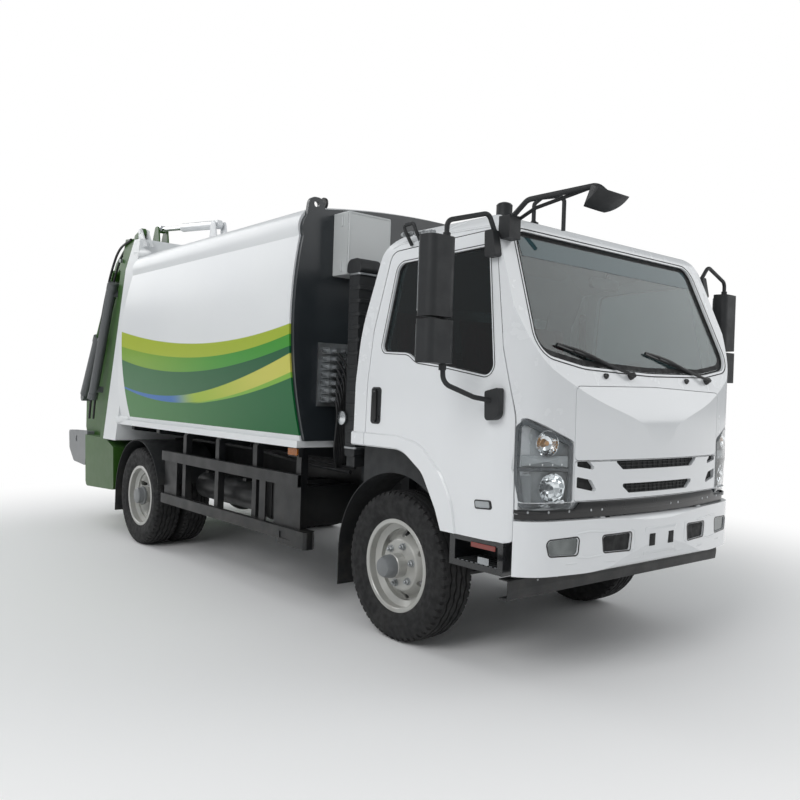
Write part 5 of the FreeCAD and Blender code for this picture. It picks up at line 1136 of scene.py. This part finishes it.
def step_dressing():
    """Tread, reflector and bracket of the step below each door."""
    for tag, s in SIDES:
        kit = Kit()
        kit.prism(oblong(676, 838, 650, 674, 3), "xz", s * 976, s * 982)
        kit.done("step_reflector_" + tag, "reflex", "cab", bevel=1.5)
        kit.box(786, 856, s * 1010 - 34, s * 1010 - 30, 594, 626)
        for k in range(9):
            kit.box(566 + k * 32, 584 + k * 32, s * 806, s * 968, 569, 573)
        kit.done("step_tread_" + tag, "zinc", "cab", bevel=1)


def body_dressing():
    """Lift ring, latches of the box, ribs of the duct, valve fittings with their pipes, filler cap."""
    kit = Kit()
    kit.turn(at(-838, -890, 2585), (0, 1, 0), [(-9, 40), (9, 40)], 28)
    kit.done("lift_ring", "gloss", "chassis", bevel=3)
    box = Skin("electrical_box")
    box.band(kit, oblong(-858, -540, 2125, 2500, 10), ("yz", 0, BACK), 10, 2.2, 1.0)
    for z in (2200, 2310, 2420):
        kit.turn(at(-636, -552, z), (1, 0, 0), [(-1, 11), (8, 11), (11, 8)], 18)
    for z in (2170, 2450):
        kit.turn(at(-650, -872, z - 30), (0, 0, 1), [(0, 7), (60, 7)], 12)
    kit.done("box_latches", "boxgrey", "chassis")
    for k in range(13):
        z = 1060 + k * 78
        kit.prism(oblong(-474, -368, -934, -796, 18), "xy", z, z + 26)
    kit.done("duct_ribs", "plastic", "chassis", bevel=5)
    for z in (1046, 2086):
        kit.prism(oblong(-478, -364, -938, -792, 20), "xy", z, z + 12)
    kit.done("duct_clamps", "zinc", "chassis", bevel=1)
    bank_x, lowest, pitch = -799, 1338, 50
    lines = Kit()
    for k in range(7):
        z = lowest + k * pitch
        for y in (-895, -825):
            kit.hexagon(at(bank_x + 96, y, z), (1, 0, 0), 30, 16)
            kit.turn(at(bank_x + 112, y, z), (1, 0, 0), [(0, 11), (14, 11), (16, 9), (30, 9)], 14)
        kit.hexagon(at(bank_x + 50, -936, z), (0, -1, 0), 26, 14)
        route = [(140, -895, z), (176, -895, z - 10), (190, -890 + k * 10, z - 90),
                 (170, -880 + k * 12, 1180), (120, -860 + k * 14, 1010), (40, -780 + k * 10, 900)]
        lines.pipe([(bank_x + out, y, height) for out, y, height in route], 9, 60, 8)
        if k % 2 == 0:
            route = [(140, -825, z), (170, -825, z - 6), (182, -800 + k * 6, z - 120),
                     (150, -790 + k * 6, 1120), (60, -720 + k * 6, 920)]
            lines.pipe([(bank_x + out, y, height) for out, y, height in route], 8, 60, 8)
    kit.done("valve_fittings", "zinc", "chassis")
    lines.done("valve_pipes", "hose", "chassis")
    cap = [(-40, 30), (0, 30), (4, 40), (16, 42), (20, 34), (24, 0)]
    kit.turn(at(-486, -935, 1228), (0, -1, 0), cap, 28, caps=False)
    kit.done("filler_cap", "steel", "chassis")


def side_lines():
    """Marker lamps and pipes along the frame below the load body."""
    for tag, s in SIDES:
        kit = Kit()
        kit.prism(oblong(-908, -798, 975, 1022, 10), "xz", s * 1046, s * 1058)
        kit.done("side_marker_" + tag, "amber", "chassis", bevel=3)
        kit.box(-915, -790, s * 1020, s * 1048, 966, 1032)
        for r, z, y in ((13, 940, 770), (11, 965, 735), (9, 985, 700)):
            route = ((-2900, 0, 0), (-1800, 0, 0), (-1500, 20, -20), (-1000, 10, -50), (-620, 0, -60))
            kit.pipe([(x, s * (y + out), z + rise) for x, out, rise in route], r, 80)
        kit.done("frame_pipes_" + tag, "hose", "chassis")


def tail_dressing():
    """Fittings, pipes and a slim cylinder along each side of the tailgate."""
    for tag, s in SIDES:
        kit, lines = Kit(), Kit()
        for x, z in ((-3869, 2523), (-4082, 2330), (-4155, 2270), (-4387, 1812)):
            kit.turn(at(x, s * 1000, z), (0, s, 0), [(0, 15), (70, 15)], 14)
            kit.hexagon(at(x, s * 1062, z), (0, s, 0), 34, 18)
        kit.done("tail_fittings_" + tag, "zinc", "tailgate")
        outer = ((-3640, 2690), (-3937, 2640), (-4120, 2440), (-4290, 2120), (-4440, 1700), (-4560, 1300),
                 (-4600, 1040))
        inner = ((-3640, 2660), (-3920, 2600), (-4090, 2400), (-4250, 2080), (-4400, 1680), (-4520, 1280),
                 (-4560, 1040))
        for route, y, radius in ((outer, 1068, 11), (inner, 1042, 10)):
            lines.pipe([(x, s * y, z) for x, z in route], radius, 120)
        lines.done("tail_pipes_" + tag, "hose", "tailgate")
        foot, head = (-4470, s * 1088, 1240), (-4010, s * 1088, 2330)
        kit.rod(foot, head, 43)
        for t in (0.0, 0.94):
            a, b = [[p + (q - p) * part for p, q in zip(foot, head)] for part in (t, t + 0.05)]
            kit.rod(a, b, 48)
        for x, z in ((-4432, 1330), (-4050, 2235)):
            kit.box(x - 36, x + 36, s * 1010, s * 1088, z - 30, z + 30)
        kit.done("tail_cylinder_" + tag, "darkgrey", "tailgate", bevel=3)


lining()
cab_inside()
seat_set()
strip_and_bolts()
bumper_dressing()
guard_rivets()
wiper_pair()
screen_details()
roof_pieces()
step_dressing()
body_dressing()
side_lines()
tail_dressing()


# Camera and lights

def camera():
    """Camera at the photo's place, with its turn, its tilt and its focal length."""
    yaw, pitch, roll = 2.4466686, -0.0073162, 0.0331760
    focal_pixels, frame_pixels, sensor = 793.83, 800.0, 36.0
    ahead = Vector((math.cos(yaw) * math.cos(pitch), math.sin(yaw) * math.cos(pitch), math.sin(pitch)))
    right = Vector((math.sin(yaw), -math.cos(yaw), 0.0))
    up = right.cross(ahead)
    r = right * math.cos(roll) + up * math.sin(roll)
    u = up * math.cos(roll) - right * math.sin(roll)
    data = bpy.data.cameras.new("camera")
    data.sensor_width = sensor
    data.lens = focal_pixels * sensor / frame_pixels
    data.clip_end = 200.0
    cam = in_scene("camera", data)
    spot = at(3418.58, -3748.71, 1382.29)
    cam.matrix_world = Matrix(((r.x, u.x, -ahead.x, spot.x), (r.y, u.y, -ahead.y, spot.y),
                               (r.z, u.z, -ahead.z, spot.z), (0, 0, 0, 1)))
    bpy.context.scene.camera = cam


def area(name, place, aim, power):
    """Large round light at a place, turned to what it lights."""
    data = bpy.data.lights.new(name, "AREA")
    data.shape = "DISK"
    data.size = 6.0
    data.energy = power
    light = in_scene(name, data)
    light.location = place
    light.rotation_euler = (Vector(aim) - Vector(place)).to_track_quat("-Z", "Y").to_euler()


def studio():
    """Even bluish sky, seen as white by the camera, and three lights."""
    world = bpy.data.worlds.new("studio")
    bpy.context.scene.world = world
    world.use_nodes = True
    tree = world.node_tree
    tree.nodes.clear()
    out, soft, white, path, coord, split, ramp = [tree.nodes.new("ShaderNode" + kind) for kind in (
        "OutputWorld", "Background", "Background", "LightPath", "TexCoord", "SeparateXYZ", "MapRange")]
    white.inputs[0].default_value = (1, 1, 1, 1)
    soft.inputs[0].default_value = (0.95, 0.98, 1.0, 1)
    for socket, value in zip(ramp.inputs[1:5], (-0.4, 0.9, 0.34, 0.48)):
        socket.default_value = value
    tree.links.new(coord.outputs["Generated"], split.inputs[0])
    tree.links.new(split.outputs[2], ramp.inputs[0])
    tree.links.new(ramp.outputs[0], soft.inputs[1])
    blend(tree, path.outputs["Is Camera Ray"], soft.outputs[0], white.outputs[0], out)
    area("key", (4.2, -9.0, 7.5), (0.3, 0, 1.2), 380.0)
    area("fill", (6.5, 5.5, 5.0), (0.5, 0, 1.2), 120.0)
    area("back", (-8.0, -3.0, 6.0), (-1.0, 0, 1.2), 210.0)


def floor():
    """Pale ground that keeps the shadow near the truck and runs out into white."""
    mesh = bpy.data.meshes.new("floor")
    bm = bmesh.new()
    bmesh.ops.create_circle(bm, cap_ends=True, radius=90.0, segments=96)
    bm.to_mesh(mesh)
    bm.free()
    plane = in_scene("floor", mesh)
    g = Graph("floor_white")
    g.set(Roughness=0.9, Base_Color=(0.93, 0.93, 0.93, 1))
    away = g.span(g.node("VectorMath", out=1, props={"operation": "LENGTH"}, i0=g.place), 2.8, 6.0)
    seen = g.math("MAXIMUM", *[g.node("LightPath", out=ray) for ray in ("Is Camera Ray", "Is Glossy Ray")])
    blend(g.tree, g.math("MULTIPLY", away, seen), g.bsdf.outputs[0], g.node("Emission"),
          g.tree.nodes["Material Output"])
    mesh.materials.append(g.mat)
    plane.location = (0, 0, -0.001)


camera()
studio()
floor()
bpy.context.scene.view_settings.view_transform = "Standard"
